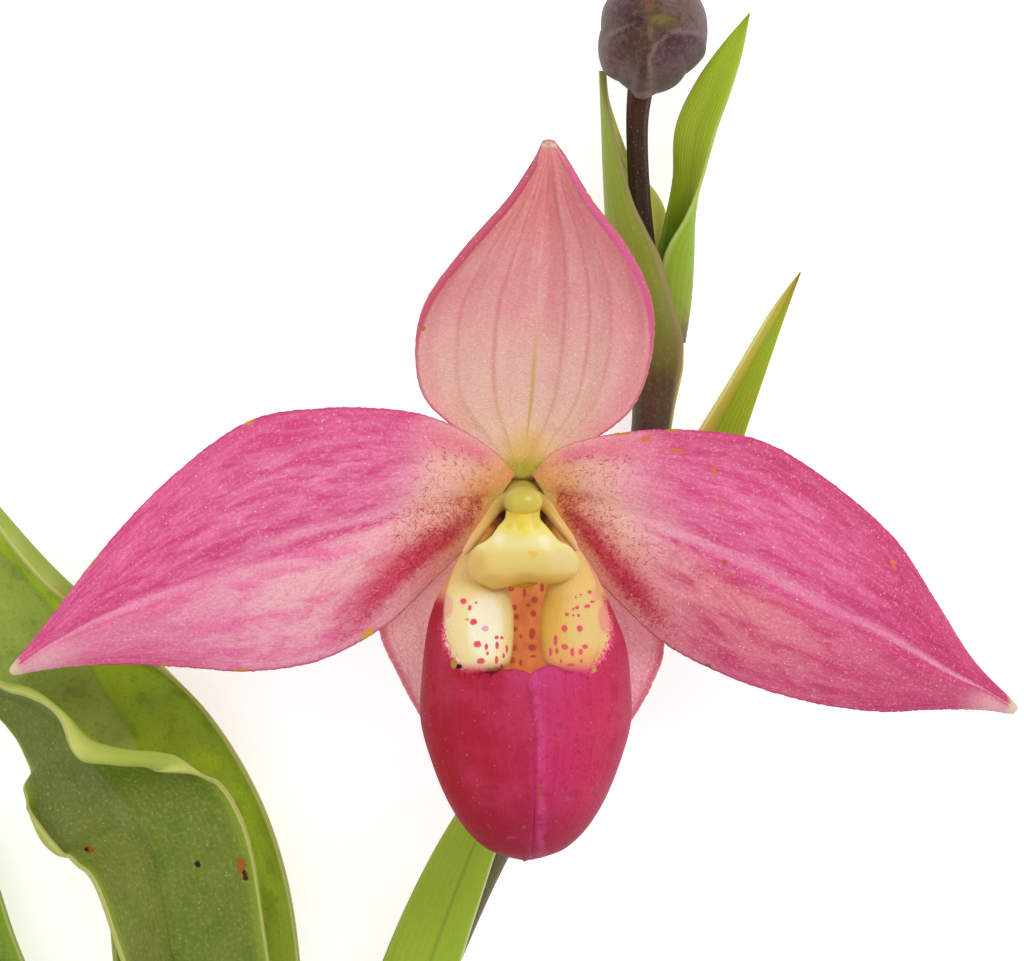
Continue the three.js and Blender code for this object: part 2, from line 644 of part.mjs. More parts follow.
// Height of the mouth's edge round the pouch, every 20 degrees from the front to the back.
const MOUTH_EDGE = [[-13.0], [-12.9], [-12.5], [-8.4], [-4.6], [-3.3], [-3.2], [-3.2], [-3.2], [-3.2]];
const NOTCH = { deep: 1.0, reach: 7 }; // the dip in the middle of the front rim, mm and degrees
// The edge rolls over into the mouth. Depth and height of the roll in mm, its span in degrees.
const RIM = { deep: 0.55, tall: 0.5, span: 195 };
const LOBE = { deep: 1.5, tall: 1.2 }; // what the broad infolded lobe at each side adds to the rim
const BACK = { tall: 0.7, span: -135 }; // what the plain edge at the back adds to it

function pouchSolid() {
  const { turns, wallRows, rollRows } = POUCH_MESH;
  const section = (t, turn) => {
    const [y, half, back, front] = along(POUCH_SECTIONS, t);
    const z = (back + front) / 2 - ((front - back) / 2) * Math.cos(turn);
    return new THREE.Vector3(POUCH_MIDDLE - half * Math.sin(turn), y, z);
  };
  // Place along the sections whose height is y, by halving.
  const placeOf = (y) => {
    let [low, high] = [0, 1];
    while (high - low > 1e-9) {
      const middle = (low + high) / 2;
      if (along(POUCH_SECTIONS, middle)[0] < y) low = middle;
      else high = middle;
    }
    return low;
  };
  const turnAt = (j) => (j / turns) * TURN;
  const fromFront = (turn) => Math.abs(180 - turn / DEGREE);
  const edgePlace = (turn) => {
    const q = fromFront(turn);
    const notch = NOTCH.deep * Math.exp(-((q / NOTCH.reach) ** 2));
    return placeOf(along(MOUTH_EDGE, q / 180)[0] - notch);
  };
  const wallRow = (i) =>
    Array.from({ length: turns }, (_, j) =>
      section((edgePlace(turnAt(j)) * i) / wallRows, turnAt(j)),
    );
  const grid = Array.from({ length: wallRows + 1 }, (_, i) => wallRow(i));
  const edge = grid[wallRows];
  const rolls = edge.map((p, j) => {
    const q = fromFront(turnAt(j));
    const across = edge[(j + 1) % turns].clone().sub(edge[(j + turns - 1) % turns]).normalize();
    const outward = across.clone().cross(p.clone().sub(grid[wallRows - 1][j])).normalize();
    const onward = outward.clone().cross(across);
    const lobe = smooth(36, 52, q) * (1 - smooth(70, 100, q));
    return {
      outward,
      onward,
      deep: RIM.deep + LOBE.deep * lobe,
      tall: RIM.tall + LOBE.tall * lobe + BACK.tall * smooth(90, 110, q),
      span: (RIM.span + BACK.span * smooth(76, 112, q)) * DEGREE,
    };
  });
  const rollRow = (i) =>
    edge.map((p, j) => {
      const { outward, onward, deep, tall, span } = rolls[j];
      const turn = (span * i) / rollRows;
      return p
        .clone()
        .addScaledVector(onward, tall * Math.sin(turn))
        .addScaledVector(outward, -deep * (1 - Math.cos(turn)));
    });
  for (let i = 1; i <= rollRows; i++) grid.push(rollRow(i));
  return bagSolid(grid, POUCH_THICK);
}

// Closed bag of even thickness round rings of points that start beside its closed end.
function bagSolid(grid, thickness) {
  const normals = gridNormals(grid, true);
  const turns = grid[0].length;
  const rows = grid.length;
  const shifted = (side) =>
    grid.map((row, i) =>
      row.map((p, j) => p.clone().addScaledVector(normals[i][j], (side * thickness) / 2)),
    );
  const points = [...shifted(1).flat(), ...shifted(-1).flat()];
  const half = rows * turns;
  const faces = [];
  for (let i = 0; i < rows - 1; i++)
    for (let j = 0; j < turns; j++) {
      const k = (j + 1) % turns;
      const [a, b] = [i * turns + j, i * turns + k];
      faces.push([a, b, b + turns], [a, b + turns, a + turns]);
      faces.push([half + a, half + b + turns, half + b]);
      faces.push([half + a, half + a + turns, half + b + turns]);
    }
  const last = (rows - 1) * turns;
  const hub = (first) =>
    points
      .slice(first, first + turns)
      .reduce((sum, p) => sum.add(p), new THREE.Vector3())
      .divideScalar(turns);
  const outerHub = points.push(hub(0)) - 1;
  const innerHub = points.push(hub(half)) - 1;
  for (let j = 0; j < turns; j++) {
    const k = (j + 1) % turns;
    faces.push([k, j, outerHub], [half + j, half + k, innerHub]);
    faces.push([last + j, last + k, half + last + k], [last + j, half + last + k, half + last + j]);
  }
  return geometryOf(points, faces);
}

place(flower, "pouch", pouchSolid(), 0xa8204f, 0.6);

// ---------------------------------------------------------------- column

// The column: a short post with a round knob, the shield that hangs over the pouch's mouth, and an
// anther behind each of the shield's shoulders, all grown as one.

// Ellipsoid round [x, y, z] with its poles along Y.
function ball(x, y, z, rx, ry, rz) {
  const geometry = new THREE.SphereGeometry(1, 14, 8);
  geometry.deleteAttribute("normal");
  geometry.deleteAttribute("uv");
  geometry.scale(rx, rz, ry);
  geometry.rotateX(TURN / 4);
  geometry.translate(x, y, z);
  return solidOf(geometry);
}

// Shield rows from the knob down: [y, half width, z, droop of the edge].
const SHIELD = [
  [-0.5, 1.3, 8.6, 0.5],
  [-1.4, 1.5, 8.8, 0.5],
  [-2.4, 2.3, 9.0, 0.5],
  [-3.3, 3.1, 9.2, 0.8],
  [-4.2, 4.1, 9.25, 1.0],
  [-5.1, 4.5, 9.15, 1.1],
  [-6.0, 4.1, 8.8, 0.9],
  [-6.7, 3.1, 8.3, 0.6],
];
const SHIELD_MIDDLE = 0.1; // x of the shield's middle line
const shieldGrid = Array.from({ length: SHIELD_CELLS + 1 }, (_, i) => {
  const [y, half, z, droop] = along(SHIELD, i / SHIELD_CELLS);
  return Array.from({ length: SHIELD_CELLS + 1 }, (_, j) => {
    const s = 1 - (2 * j) / SHIELD_CELLS;
    return new THREE.Vector3(SHIELD_MIDDLE + s * half, y, z - droop * s * s);
  });
});
const POST = [
  [0, 0, RECEPTACLE_TOP + SEAT, 1.55],
  [0, 0, -0.4, 1.55],
  [0, -0.2, 2.4, 2.0],
  [0, -0.7, 5.4, 2.3],
  [0, -1.2, 7.4, 2.2],
  [0, -1.4, 8.8, 1.4],
];
const post = solidOf(stemSolid(POST, { steps: 6, sides: 12 }));
const shield = solidOf(bladeSolid(shieldGrid, SHIELD_THICK));
const knob = ball(SHIELD_MIDDLE, -0.05, 8.9, 1.5, 1.25, 1.35);
const antherLeft = ball(-2.7, -2.5, 6.9, 1.3, 1.6, 1.1);
const antherRight = ball(2.7, -2.5, 6.9, 1.3, 1.6, 1.1);
const stigma = ball(0, -3.2, 6.6, 2.0, 1.7, 1.6);
const column = wasm.Manifold.union([post, shield, knob, antherLeft, antherRight, stigma]);
place(flower, "column", geometryFrom(column), 0xe8d36a, 0.45);

export default plant;
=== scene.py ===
"""A phragmipedium orchid in flower: one growth cut from its clump and laid on its side.

The script follows the plant as it grows: the leaf fan, the cut base, the flower stem with its bracts,
the open flower from its back sepals to the column in front, and the bud. Tables of sizes are in
millimetres, and MM turns them into the scene's metres when a mesh is made.
"""

import bpy
import numpy as np
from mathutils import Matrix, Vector


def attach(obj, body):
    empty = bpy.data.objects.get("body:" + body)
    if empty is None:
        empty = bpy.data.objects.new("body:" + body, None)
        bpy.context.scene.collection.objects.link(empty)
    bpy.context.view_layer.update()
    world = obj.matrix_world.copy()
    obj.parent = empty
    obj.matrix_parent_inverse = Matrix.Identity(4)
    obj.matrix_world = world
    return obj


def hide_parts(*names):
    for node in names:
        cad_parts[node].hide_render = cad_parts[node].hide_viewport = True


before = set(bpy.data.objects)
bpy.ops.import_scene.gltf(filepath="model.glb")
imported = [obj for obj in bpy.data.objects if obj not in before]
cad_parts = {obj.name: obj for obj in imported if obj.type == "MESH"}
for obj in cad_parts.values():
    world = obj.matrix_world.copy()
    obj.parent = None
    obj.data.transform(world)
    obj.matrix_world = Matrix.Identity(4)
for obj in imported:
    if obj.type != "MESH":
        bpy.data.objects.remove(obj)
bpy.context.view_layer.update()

# ---------------------------------------------------------------- camera, light and surface
# The growth lies on a plain white surface with the open flower facing up. The camera hangs straight
# above the flower, and two broad lamps and a white room light it softly.

MM = 0.001
VIEW_CENTRE = (16.204 * MM, 109.552 * MM)
CAMERA_HEIGHT = 522 * MM
CAMERA_LENS = 220.8
CAMERA_NEAR = 0.05
KEY_LAMP = {"place": (0.34, 0.42, 0.66), "size": 0.35, "watts": 2.1}
FILL_LAMP = {"place": (-0.50, 0.00, 0.70), "size": 0.70, "watts": 0.9}
ROOM_LIGHT = 0.72
FLOOR_HALF = 3.0
FLOOR_DROP = 0.05 * MM  # the surface lies just clear of what rests on it
FLOOR_WHITE = 0.84
FLOOR_ROUGHNESS = 0.9
FLOOR_GLOW = 0.55

camera_data = bpy.data.cameras.new("camera")
camera_data.lens = CAMERA_LENS
camera_data.clip_start = CAMERA_NEAR
camera = bpy.data.objects.new("camera", camera_data)
camera.location = (*VIEW_CENTRE, CAMERA_HEIGHT)
bpy.context.scene.collection.objects.link(camera)
bpy.context.scene.camera = camera


def soft_lamp(name, place, size, watts):
    """Square area lamp at a place in metres, aimed at the flower and itself unseen."""
    data = bpy.data.lights.new(name, "AREA")
    data.size = size
    data.energy = watts
    lamp = bpy.data.objects.new(name, data)
    lamp.location = place
    lamp.visible_camera = False
    aim = Vector((*VIEW_CENTRE, 0.0)) - Vector(place)
    lamp.rotation_euler = aim.to_track_quat("-Z", "Y").to_euler()
    bpy.context.scene.collection.objects.link(lamp)


soft_lamp("key_lamp", **KEY_LAMP)
soft_lamp("fill_lamp", **FILL_LAMP)

room = bpy.data.worlds.new("studio")
room.use_nodes = True
room.node_tree.nodes["Background"].inputs["Color"].default_value = (1, 1, 1, 1)
room.node_tree.nodes["Background"].inputs["Strength"].default_value = ROOM_LIGHT
bpy.context.scene.world = room
bpy.context.scene.view_settings.view_transform = "Standard"

floor_mesh = bpy.data.meshes.new("floor")
floor_corners = np.array([(-1, -1, 0), (1, -1, 0), (1, 1, 0), (-1, 1, 0)]) * FLOOR_HALF
floor_mesh.from_pydata((floor_corners - (0, 0, FLOOR_DROP)).tolist(), [], [(0, 1, 2, 3)])
floor = bpy.data.objects.new("floor", floor_mesh)
bpy.context.scene.collection.objects.link(floor)
floor_paint = bpy.data.materials.new("floor_white")
floor_paint.use_nodes = True
floor_shader = floor_paint.node_tree.nodes["Principled BSDF"]
floor_shader.inputs["Base Color"].default_value = (FLOOR_WHITE, FLOOR_WHITE, FLOOR_WHITE, 1)
floor_shader.inputs["Roughness"].default_value = FLOOR_ROUGHNESS
floor_shader.inputs["Specular IOR Level"].default_value = 0.0
floor_shader.inputs["Emission Color"].default_value = (1, 1, 1, 1)
floor_shader.inputs["Emission Strength"].default_value = FLOOR_GLOW
floor_mesh.materials.append(floor_paint)

# ---------------------------------------------------------------- leaf fan
# Five strap leaves of the growth, tough and waxy. Each clasps the fan's axis at its foot, opens into
# a keeled blade, and rolls its margins where it bends over. Three go to the left and two to the right.

LEAF_THICK = 0.75
SHEATH_INNER_RADIUS = 2.6
SHEATH_STEP = 1.3
FAN_AXIS_HEIGHT = 8.0
LEAF_START = 5.1
CURL_START = 0.6  # where a margin starts to curl, from 0 at the midrib to 1 at the margin
RIPPLE_LAG = 2.0  # of the left margin's ripple behind the right one's, in radians
MARGIN_SHARE = 0.35  # of a blade's thickness, left at its margin


def along(rows, t):
    """Smooth curve through evenly spaced rows, at t from 0 to 1: between two rows it is the cubic that
    leaves and reaches them with half the step between each one's neighbours as its slope."""
    rows = np.asarray(rows, float)
    last = len(rows) - 1
    place = np.clip(t, 0, 1) * last
    i = np.minimum(place.astype(int), last - 1)
    f = (place - i)[..., None]
    b, c = rows[i], rows[i + 1]
    a = np.where((i > 0)[..., None], rows[np.maximum(i - 1, 0)], 2 * b - c)
    d = np.where((i < last - 1)[..., None], rows[np.minimum(i + 2, last)], 2 * c - b)
    m, n = (c - a) / 2, (d - b) / 2
    return b + m * f + (3 * (c - b) - 2 * m - n) * f**2 + (2 * (b - c) + m + n) * f**3


def unit(vectors):
    """The vectors scaled to length one."""
    return vectors / np.maximum(np.linalg.norm(vectors, axis=-1, keepdims=True), 1e-12)


def heading(rows, t):
    """Unit direction of a centre line at t, from the curve a hundredth ahead and behind."""
    step = 0.01
    ahead = along(rows, np.minimum(t + step, 1))[..., :3]
    behind = along(rows, np.maximum(t - step, 0))[..., :3]
    return unit(ahead - behind)


def smooth(low, high, x):
    """0 below low, 1 above high, and 3s² - 2s³ of the share s between them."""
    s = np.clip((np.asarray(x, float) - low) / (high - low), 0, 1)
    return s * s * (3 - 2 * s)


def bell(centre, half, x):
    """Height of a soft ridge: exp(-s²) of the distance s from its centre, counted in halves."""
    return np.exp(-(((x - centre) / half) ** 2))


def folded_blade(stations, steps, columns, wave=0.0, waves=0.0):
    """Middle surface of a leaf or bract over t along its midrib and w from midrib to margin.

    A station is [x, y, z, half width, keel, fold, roll, left curl, right curl] with angles in degrees,
    and then the width of its right half where that differs.
    At w the blade is bent up by keel + fold w + curl s(w) + ripple w², where s eases in over the outer
    part and ripple is wave sin(waves turns along t). The point is the midrib plus the sum of unit steps
    in that direction, times the half width, in a plane turned about the midrib by the roll.
    """
    t = np.linspace(0, 1, steps + 1)
    rows = along(stations, t)
    tangent = heading(stations, t)
    flat_right = unit(np.cross(tangent, (0, 0, 1)))
    flat_up = np.cross(flat_right, tangent)
    roll = np.radians(rows[:, 6:7])
    right = flat_right * np.cos(roll) - flat_up * np.sin(roll)
    face = flat_up * np.cos(roll) + flat_right * np.sin(roll)
    w = (np.arange(columns) + 0.5) / columns
    halves = []
    right_width = rows[:, 9:10] if rows.shape[1] > 9 else rows[:, 3:4]
    for sign, curl, width in ((-1, rows[:, 7:8], rows[:, 3:4]), (1, rows[:, 8:9], right_width)):
        ripple = wave * np.sin(waves * t * 2 * np.pi + (0 if sign > 0 else RIPPLE_LAG))
        bend = rows[:, 4:5] + rows[:, 5:6] * w + curl * smooth(CURL_START, 1, w)
        bend = np.radians(bend + ripple[:, None] * w**2)
        step = width / columns
        out = np.cumsum(np.cos(bend), axis=1) * step * sign
        up = np.cumsum(np.sin(bend), axis=1) * step
        points = rows[:, None, :3] + right[:, None] * out[..., None] + face[:, None] * up[..., None]
        halves.append(points[:, ::sign])
    return np.concatenate((halves[0], rows[:, None, :3], halves[1]), axis=1)


def grid_normals(grid, closed=False):
    """Unit normals of a grid of points: the cross product of its steps across and down."""
    down = np.gradient(grid, axis=0)
    if closed:
        across = np.roll(grid, -1, axis=1) - np.roll(grid, 1, axis=1)
    else:
        across = np.gradient(grid, axis=1)
    return unit(np.cross(across, down))


def closed_blade(grid, thickness, relief=0.0, floor=None):
    """Closed blade round a middle surface, lifted by a relief along its normals: points, faces and the
    pattern (across from -1 to 1, lengthwise from 0 to 1, 1 on the upper face and 0 on the under one).

    Thickness at w across is thickness (share + (1 - share) (1 - w⁴)), with the share left at the margin.
    """
    rows, cols = grid.shape[:2]
    normals = grid_normals(grid)
    w = np.abs(np.linspace(-1, 1, cols))
    half_thick = thickness / 2 * (MARGIN_SHARE + (1 - MARGIN_SHARE) * (1 - w**4))[None, :, None]
    middle = grid + normals * np.broadcast_to(relief, (rows, cols))[..., None]
    faces_of = [middle + normals * half_thick, middle - normals * half_thick]
    if floor is not None:
        faces_of[0][..., 2] = np.maximum(faces_of[0][..., 2], floor + thickness * 0.6)
        faces_of[1][..., 2] = np.maximum(faces_of[1][..., 2], floor)
    index = np.arange(rows * cols).reshape(rows, cols)
    under = rows * cols
    front = np.stack((index[:-1, :-1], index[:-1, 1:], index[1:, 1:], index[1:, :-1]), -1)
    back = front[..., ::-1] + under
    a, b = index[0, :-1], index[0, 1:]
    c, d = index[-1, :-1], index[-1, 1:]
    e, f = index[:-1, 0], index[1:, 0]
    g, h = index[:-1, -1], index[1:, -1]
    rim = [
        np.stack((b, a, a + under, b + under), -1),
        np.stack((c, d, d + under, c + under), -1),
        np.stack((e, f, f + under, e + under), -1),
        np.stack((h, g, g + under, h + under), -1),
    ]
    faces = np.concatenate([front.reshape(-1, 4), back.reshape(-1, 4), *rim])
    lengthwise, across = np.meshgrid(
        np.linspace(0, 1, rows), np.linspace(-1, 1, cols), indexing="ij"
    )
    upper = np.stack((across, lengthwise, np.ones_like(across)), -1).reshape(-1, 3)
    pattern = np.concatenate((upper, upper * (1, 1, 0)))
    return np.concatenate([side.reshape(-1, 3) for side in faces_of]), faces, pattern


def make_piece(name, points, blocks, paints, pattern=None):
    """Smooth-shaded object of points in millimetres and blocks of faces, each block an array of faces
    with the same number of corners, painted with the paint in its place or with the only one. The
    pattern is kept as a point attribute."""
    mesh = bpy.data.meshes.new(name)
    faces = [face for block in blocks for face in block.tolist()]
    mesh.from_pydata((points * MM).tolist(), [], faces)
    mesh.polygons.foreach_set("use_smooth", np.ones(len(faces), bool))
    if pattern is not None:
        layer = mesh.attributes.new("pattern", "FLOAT_VECTOR", "POINT")
        layer.data.foreach_set("vector", np.asarray(pattern, np.float32).ravel())
    for paint in paints:
        mesh.materials.append(paint)
    if len(paints) > 1:
        sizes = [len(block) for block in blocks]
        mesh.polygons.foreach_set("material_index", np.repeat(np.arange(len(paints)), sizes))
    piece = bpy.data.objects.new(name, mesh)
    bpy.context.scene.collection.objects.link(piece)
    return piece


def hue(code):
    """Linear colour of a six-digit sRGB code."""
    srgb = np.array([int(code[i : i + 2], 16) for i in (0, 2, 4)]) / 255
    linear = np.where(srgb <= 0.04045, srgb / 12.92, ((srgb + 0.055) / 1.055) ** 2.4)
    return (*linear.tolist(), 1.0)


def add(tree, kind, inputs=None, **settings):
    """Adds a node, sets its properties, then links or sets each named or numbered input."""
    made = tree.nodes.new(kind)
    for name, value in settings.items():
        setattr(made, name, value)
    for name, value in (inputs or {}).items():
        if isinstance(value, bpy.types.NodeSocket):
            tree.links.new(value, made.inputs[name])
        else:
            made.inputs[name].default_value = value
    return made


def tree_of(*values):
    """The node tree of the first socket among the values."""
    return next(value.id_data for value in values if isinstance(value, bpy.types.NodeSocket))


def sum_of(operation, *values, clamp=False):
    """Output of a Math node."""
    made = add(tree_of(*values), "ShaderNodeMath", dict(enumerate(values)), operation=operation)
    made.use_clamp = clamp
    return made.outputs[0]


def times(*values):
    """Product of masks."""
    product = values[0]
    for value in values[1:]:
        product = sum_of("MULTIPLY", product, value)
    return product


def edge(low, high, value):
    """0 where the value is below low, 1 above high, smooth between; low above high turns it round."""
    rising = low < high
    inputs = {
        "Value": value,
        "From Min": min(low, high),
        "From Max": max(low, high),
        "To Min": 0.0 if rising else 1.0,
        "To Max": 1.0 if rising else 0.0,
    }
    made = add(tree_of(value), "ShaderNodeMapRange", inputs, interpolation_type="SMOOTHSTEP")
    return made.outputs["Result"]


def blended(factor, first, second):
    """Colour from first to second by the factor; each colour is a socket or an sRGB code."""
    first, second = [hue(colour) if isinstance(colour, str) else colour for colour in (first, second)]
    inputs = {0: factor, 6: first, 7: second}
    return add(tree_of(factor), "ShaderNodeMix", inputs, data_type="RGBA").outputs[2]


def layered(colour, *layers):
    """The colour with layers painted over it, each (colour, masks whose product is its strength)."""
    for over, *masks in layers:
        colour = blended(times(*masks), colour, over)
    return colour


def noise(vector, scale, detail=2.0, roughness=0.5, distortion=0.0):
    """Value of a noise texture, whose scale is in cells per unit of the vector."""
    inputs = {
        "Vector": vector,
        "Scale": scale,
        "Detail": detail,
        "Roughness": roughness,
        "Distortion": distortion,
    }
    return add(tree_of(vector), "ShaderNodeTexNoise", inputs).outputs["Fac"]


def swing(value, width):
    """A noise made to swing about 0, at most half the width to each side."""
    return times(sum_of("SUBTRACT", value, 0.5), width)


def vector_of(x, y, z=0.0):
    """Vector of three values."""
    return add(tree_of(x, y, z), "ShaderNodeCombineXYZ", {0: x, 1: y, 2: z}).outputs[0]


def pattern_of(tree):
    """The three values of the piece's pattern attribute."""
    read = add(tree, "ShaderNodeAttribute", attribute_name="pattern")
    split = add(tree, "ShaderNodeSeparateXYZ", {0: read.outputs["Vector"]})
    return split.outputs


def object_place(tree):
    """Object coordinates, in metres."""
    return add(tree, "ShaderNodeTexCoord").outputs["Object"]


def effect(name, inputs, outputs):
    """Empty node group with named float or vector sockets: the tree, what it is given, its results."""
    tree = bpy.data.node_groups.new(name, "ShaderNodeTree")
    for direction, sockets in (("INPUT", inputs), ("OUTPUT", outputs)):
        for socket, kind in sockets.items():
            tree.interface.new_socket(socket, in_out=direction, socket_type="NodeSocket" + kind)
    given, result = tree.nodes.new("NodeGroupInput"), tree.nodes.new("NodeGroupOutput")
    return tree, given.outputs, result.inputs


def place_effect(group, **inputs):
    """The group's outputs, placed in the tree of its inputs with their values."""
    return add(tree_of(*inputs.values()), "ShaderNodeGroup", inputs, node_tree=group).outputs


def new_material(name, roughness, **fixed):
    """Material with a Principled shader, whose fixed inputs are set on it: material, tree, shader."""
    material = bpy.data.materials.new(name)
    material.use_nodes = True
    tree = material.node_tree
    shader = tree.nodes["Principled BSDF"]
    shader.inputs["Roughness"].default_value = roughness
    for socket, value in fixed.items():
        shader.inputs[socket.replace("_", " ")].default_value = value
    return material, tree, shader


def wire(shader, value, *sockets):
    """Feeds a value into the shader's named inputs."""
    for socket in sockets:
        value.id_data.links.new(value, shader.inputs[socket])


def bump(shader, height, depth):
    """Feeds a height, whose 1 stands that many millimetres proud, into the shader's normal."""
    inputs = {"Strength": 1.0, "Distance": depth * MM, "Height": height}
    wire(shader, add(height.id_data, "ShaderNodeBump", inputs).outputs["Normal"], "Normal")


# Parallel veins: thin lines at even steps across a blade, which waver a little along it.
parallel_veins, given, result = effect(
    "parallel_veins",
    {"Across": "Float", "Lengthwise": "Float", "Count": "Float", "Width": "Float"},
    {"Veins": "Float"},
)
waver = noise(vector_of(times(given["Across"], 5.0), times(given["Lengthwise"], 9.0)), 1.0)
place_across = sum_of("MULTIPLY_ADD", given["Across"], given["Count"], waver)
from_vein = sum_of("ABSOLUTE", sum_of("WRAP", place_across, 0.5, -0.5))
vein_line = edge(1.0, 0.2, sum_of("DIVIDE", from_vein, given["Width"]))
parallel_veins.links.new(vein_line, result["Veins"])

# Scattered spots: a share of the cells of a net each hold one soft round spot.
scattered_spots, given, result = effect(
    "scattered_spots",
    {"Vector": "Vector", "Scale": "Float", "Share": "Float", "Size": "Float"},
    {"Spots": "Float"},
)
spot_net = {"Vector": given["Vector"], "Scale": given["Scale"]}
spot_cells = add(scattered_spots, "ShaderNodeTexVoronoi", spot_net)
spot_draw = add(scattered_spots, "ShaderNodeSeparateColor", {0: spot_cells.outputs["Color"]})
spot_chosen = sum_of("LESS_THAN", spot_draw.outputs[0], given["Share"])
spot_distance = sum_of("DIVIDE", spot_cells.outputs["Distance"], given["Size"])
spot_mask = times(edge(1.0, 0.55, spot_distance), spot_chosen)
scattered_spots.links.new(spot_mask, result["Spots"])

# Cell grain: the swollen surface cells of living tissue, with painted glints where some of them catch the
# light.
cell_grain, given, result = effect(
    "cell_grain",
    {"Vector": "Vector", "Scale": "Float", "Share": "Float"},
    {"Height": "Float", "Sparkle": "Float"},
)
grain_net = {"Vector": given["Vector"], "Scale": given["Scale"]}
grain_cells = add(cell_grain, "ShaderNodeTexVoronoi", grain_net)
grain_draw = add(cell_grain, "ShaderNodeSeparateColor", {0: grain_cells.outputs["Color"]})
grain_height = sum_of("SUBTRACT", 1.0, grain_cells.outputs["Distance"])
grain_chosen = sum_of("LESS_THAN", grain_draw.outputs[0], given["Share"])
painted_glint = times(grain_chosen, edge(0.45, 0.2, grain_cells.outputs["Distance"]))
cell_grain.links.new(grain_height, result["Height"])
cell_grain.links.new(painted_glint, result["Sparkle"])

# Blot: one soft spot at a middle place of two values, with its half sizes, roughened at its edge.
blot, given, result = effect(
    "blot",
    {"X": "Float", "Y": "Float", "Middle": "Vector", "Half": "Vector", "Rough": "Float"},
    {"Mask": "Float"},
)
blot_value = vector_of(given["X"], given["Y"])
for operation, inputs in (
    ("SUBTRACT", {1: given["Middle"]}),
    ("DIVIDE", {1: given["Half"]}),
    ("LENGTH", {}),
):
    blot_step = add(blot, "ShaderNodeVectorMath", {0: blot_value, **inputs}, operation=operation)
    blot_value = blot_step.outputs[0]
blot_edge = sum_of("ADD", blot_step.outputs["Value"], given["Rough"])
blot.links.new(edge(1.15, 0.65, blot_edge), result["Mask"])

PER_MM = 1000.0  # texture cells per metre that make one to the millimetre


def blotted(colour, x, y, marks, rough=0.0):
    """The colour with blots on it, each (x, y, half width, half height, colour) in the values' units."""
    for middle_x, middle_y, half_x, half_y, code in marks:
        middle, half = (middle_x, middle_y, 0.0), (half_x, half_y, 1.0)
        made = place_effect(blot, X=x, Y=y, Middle=middle, Half=half, Rough=rough)
        colour = blended(made["Mask"], colour, code)
    return colour


def leaf_material(name, left, right, under, marks):
    """Waxy green blade: a duller left half and a brighter right one that meet at the midrib, painted light
    for how each half is tilted to the lamps. It is cloudy and finely grained, with yellow-green and then
    cream towards its margins, a paler underside, and old wounds. A mark is (across, lengthwise, half its
    reach in each, colour)."""
    material, tree, shader = new_material(name, 0.5, Specular_IOR_Level=0.25)
    across, lengthwise, upper = pattern_of(tree)
    place = object_place(tree)
    out = sum_of("ABSOLUTE", across)
    mottle = noise(place, 0.14 * PER_MM, 3)
    cloud = noise(place, 0.45 * PER_MM, 2)
    speckle = noise(place, 3.2 * PER_MM, 2)
    grain = place_effect(cell_grain, Vector=place, Scale=4.5 * PER_MM, Share=0.035)
    veins = place_effect(
        parallel_veins, Across=across, Lengthwise=lengthwise, Count=15.0, Width=0.3
    )["Veins"]
    waver = sum_of("MULTIPLY_ADD", cloud, 0.05, sum_of("SUBTRACT", across, 0.025))
    # Painted light: the left half is tinted duller and the right half brighter, as each half's tilt to the
    # lamps shows them.
    green = blended(edge(-0.012, 0.012, waver), left, right)
    green = layered(
        green,
        ("7d8c34", edge(0.4, 0.7, mottle), 0.5),
        ("4d6a08", edge(0.5, 0.3, cloud), 0.35),
        ("9aa75c", edge(0.52, 0.7, speckle), 0.3),
        ("44600a", edge(0.48, 0.3, speckle), 0.25),
        ("a2b060", veins, 0.05),
        # Painted glints on the grain's cells.
        ("c4cc9a", grain["Sparkle"], 0.4),
        ("8ea62c", edge(0.82, 0.97, out), 0.6),
    )
    below = blended(edge(0.72, 0.95, out), *under)
    below = layered(below, (under[0], edge(0.3, 0.7, cloud), 0.3))
    green = blended(upper, below, green)
    ragged = sum_of("MULTIPLY_ADD", cloud, 0.012, out)
    green = layered(
        green,
        ("c6cc78", edge(0.962, 0.985, ragged), 0.8),
        ("a89a50", edge(0.985, 1.0, ragged), 0.5),
    )
    rough = swing(speckle, 1.6)
    green = blotted(green, across, lengthwise, marks, rough)
    wire(shader, green, "Base Color")
    height = sum_of("MULTIPLY_ADD", grain["Height"], 0.6, times(veins, 0.3))
    bump(shader, height, 0.02)
    return material


def sheath(order, side, y, wrap):
    """Station of a clasping leaf base: an arc of wrap degrees to each side, round the fan's axis."""
    radius = SHEATH_INNER_RADIUS + SHEATH_STEP * order
    return [side * radius, y, FAN_AXIS_HEIGHT, radius * np.radians(wrap), 0, wrap, -90 * side, 0, 0]


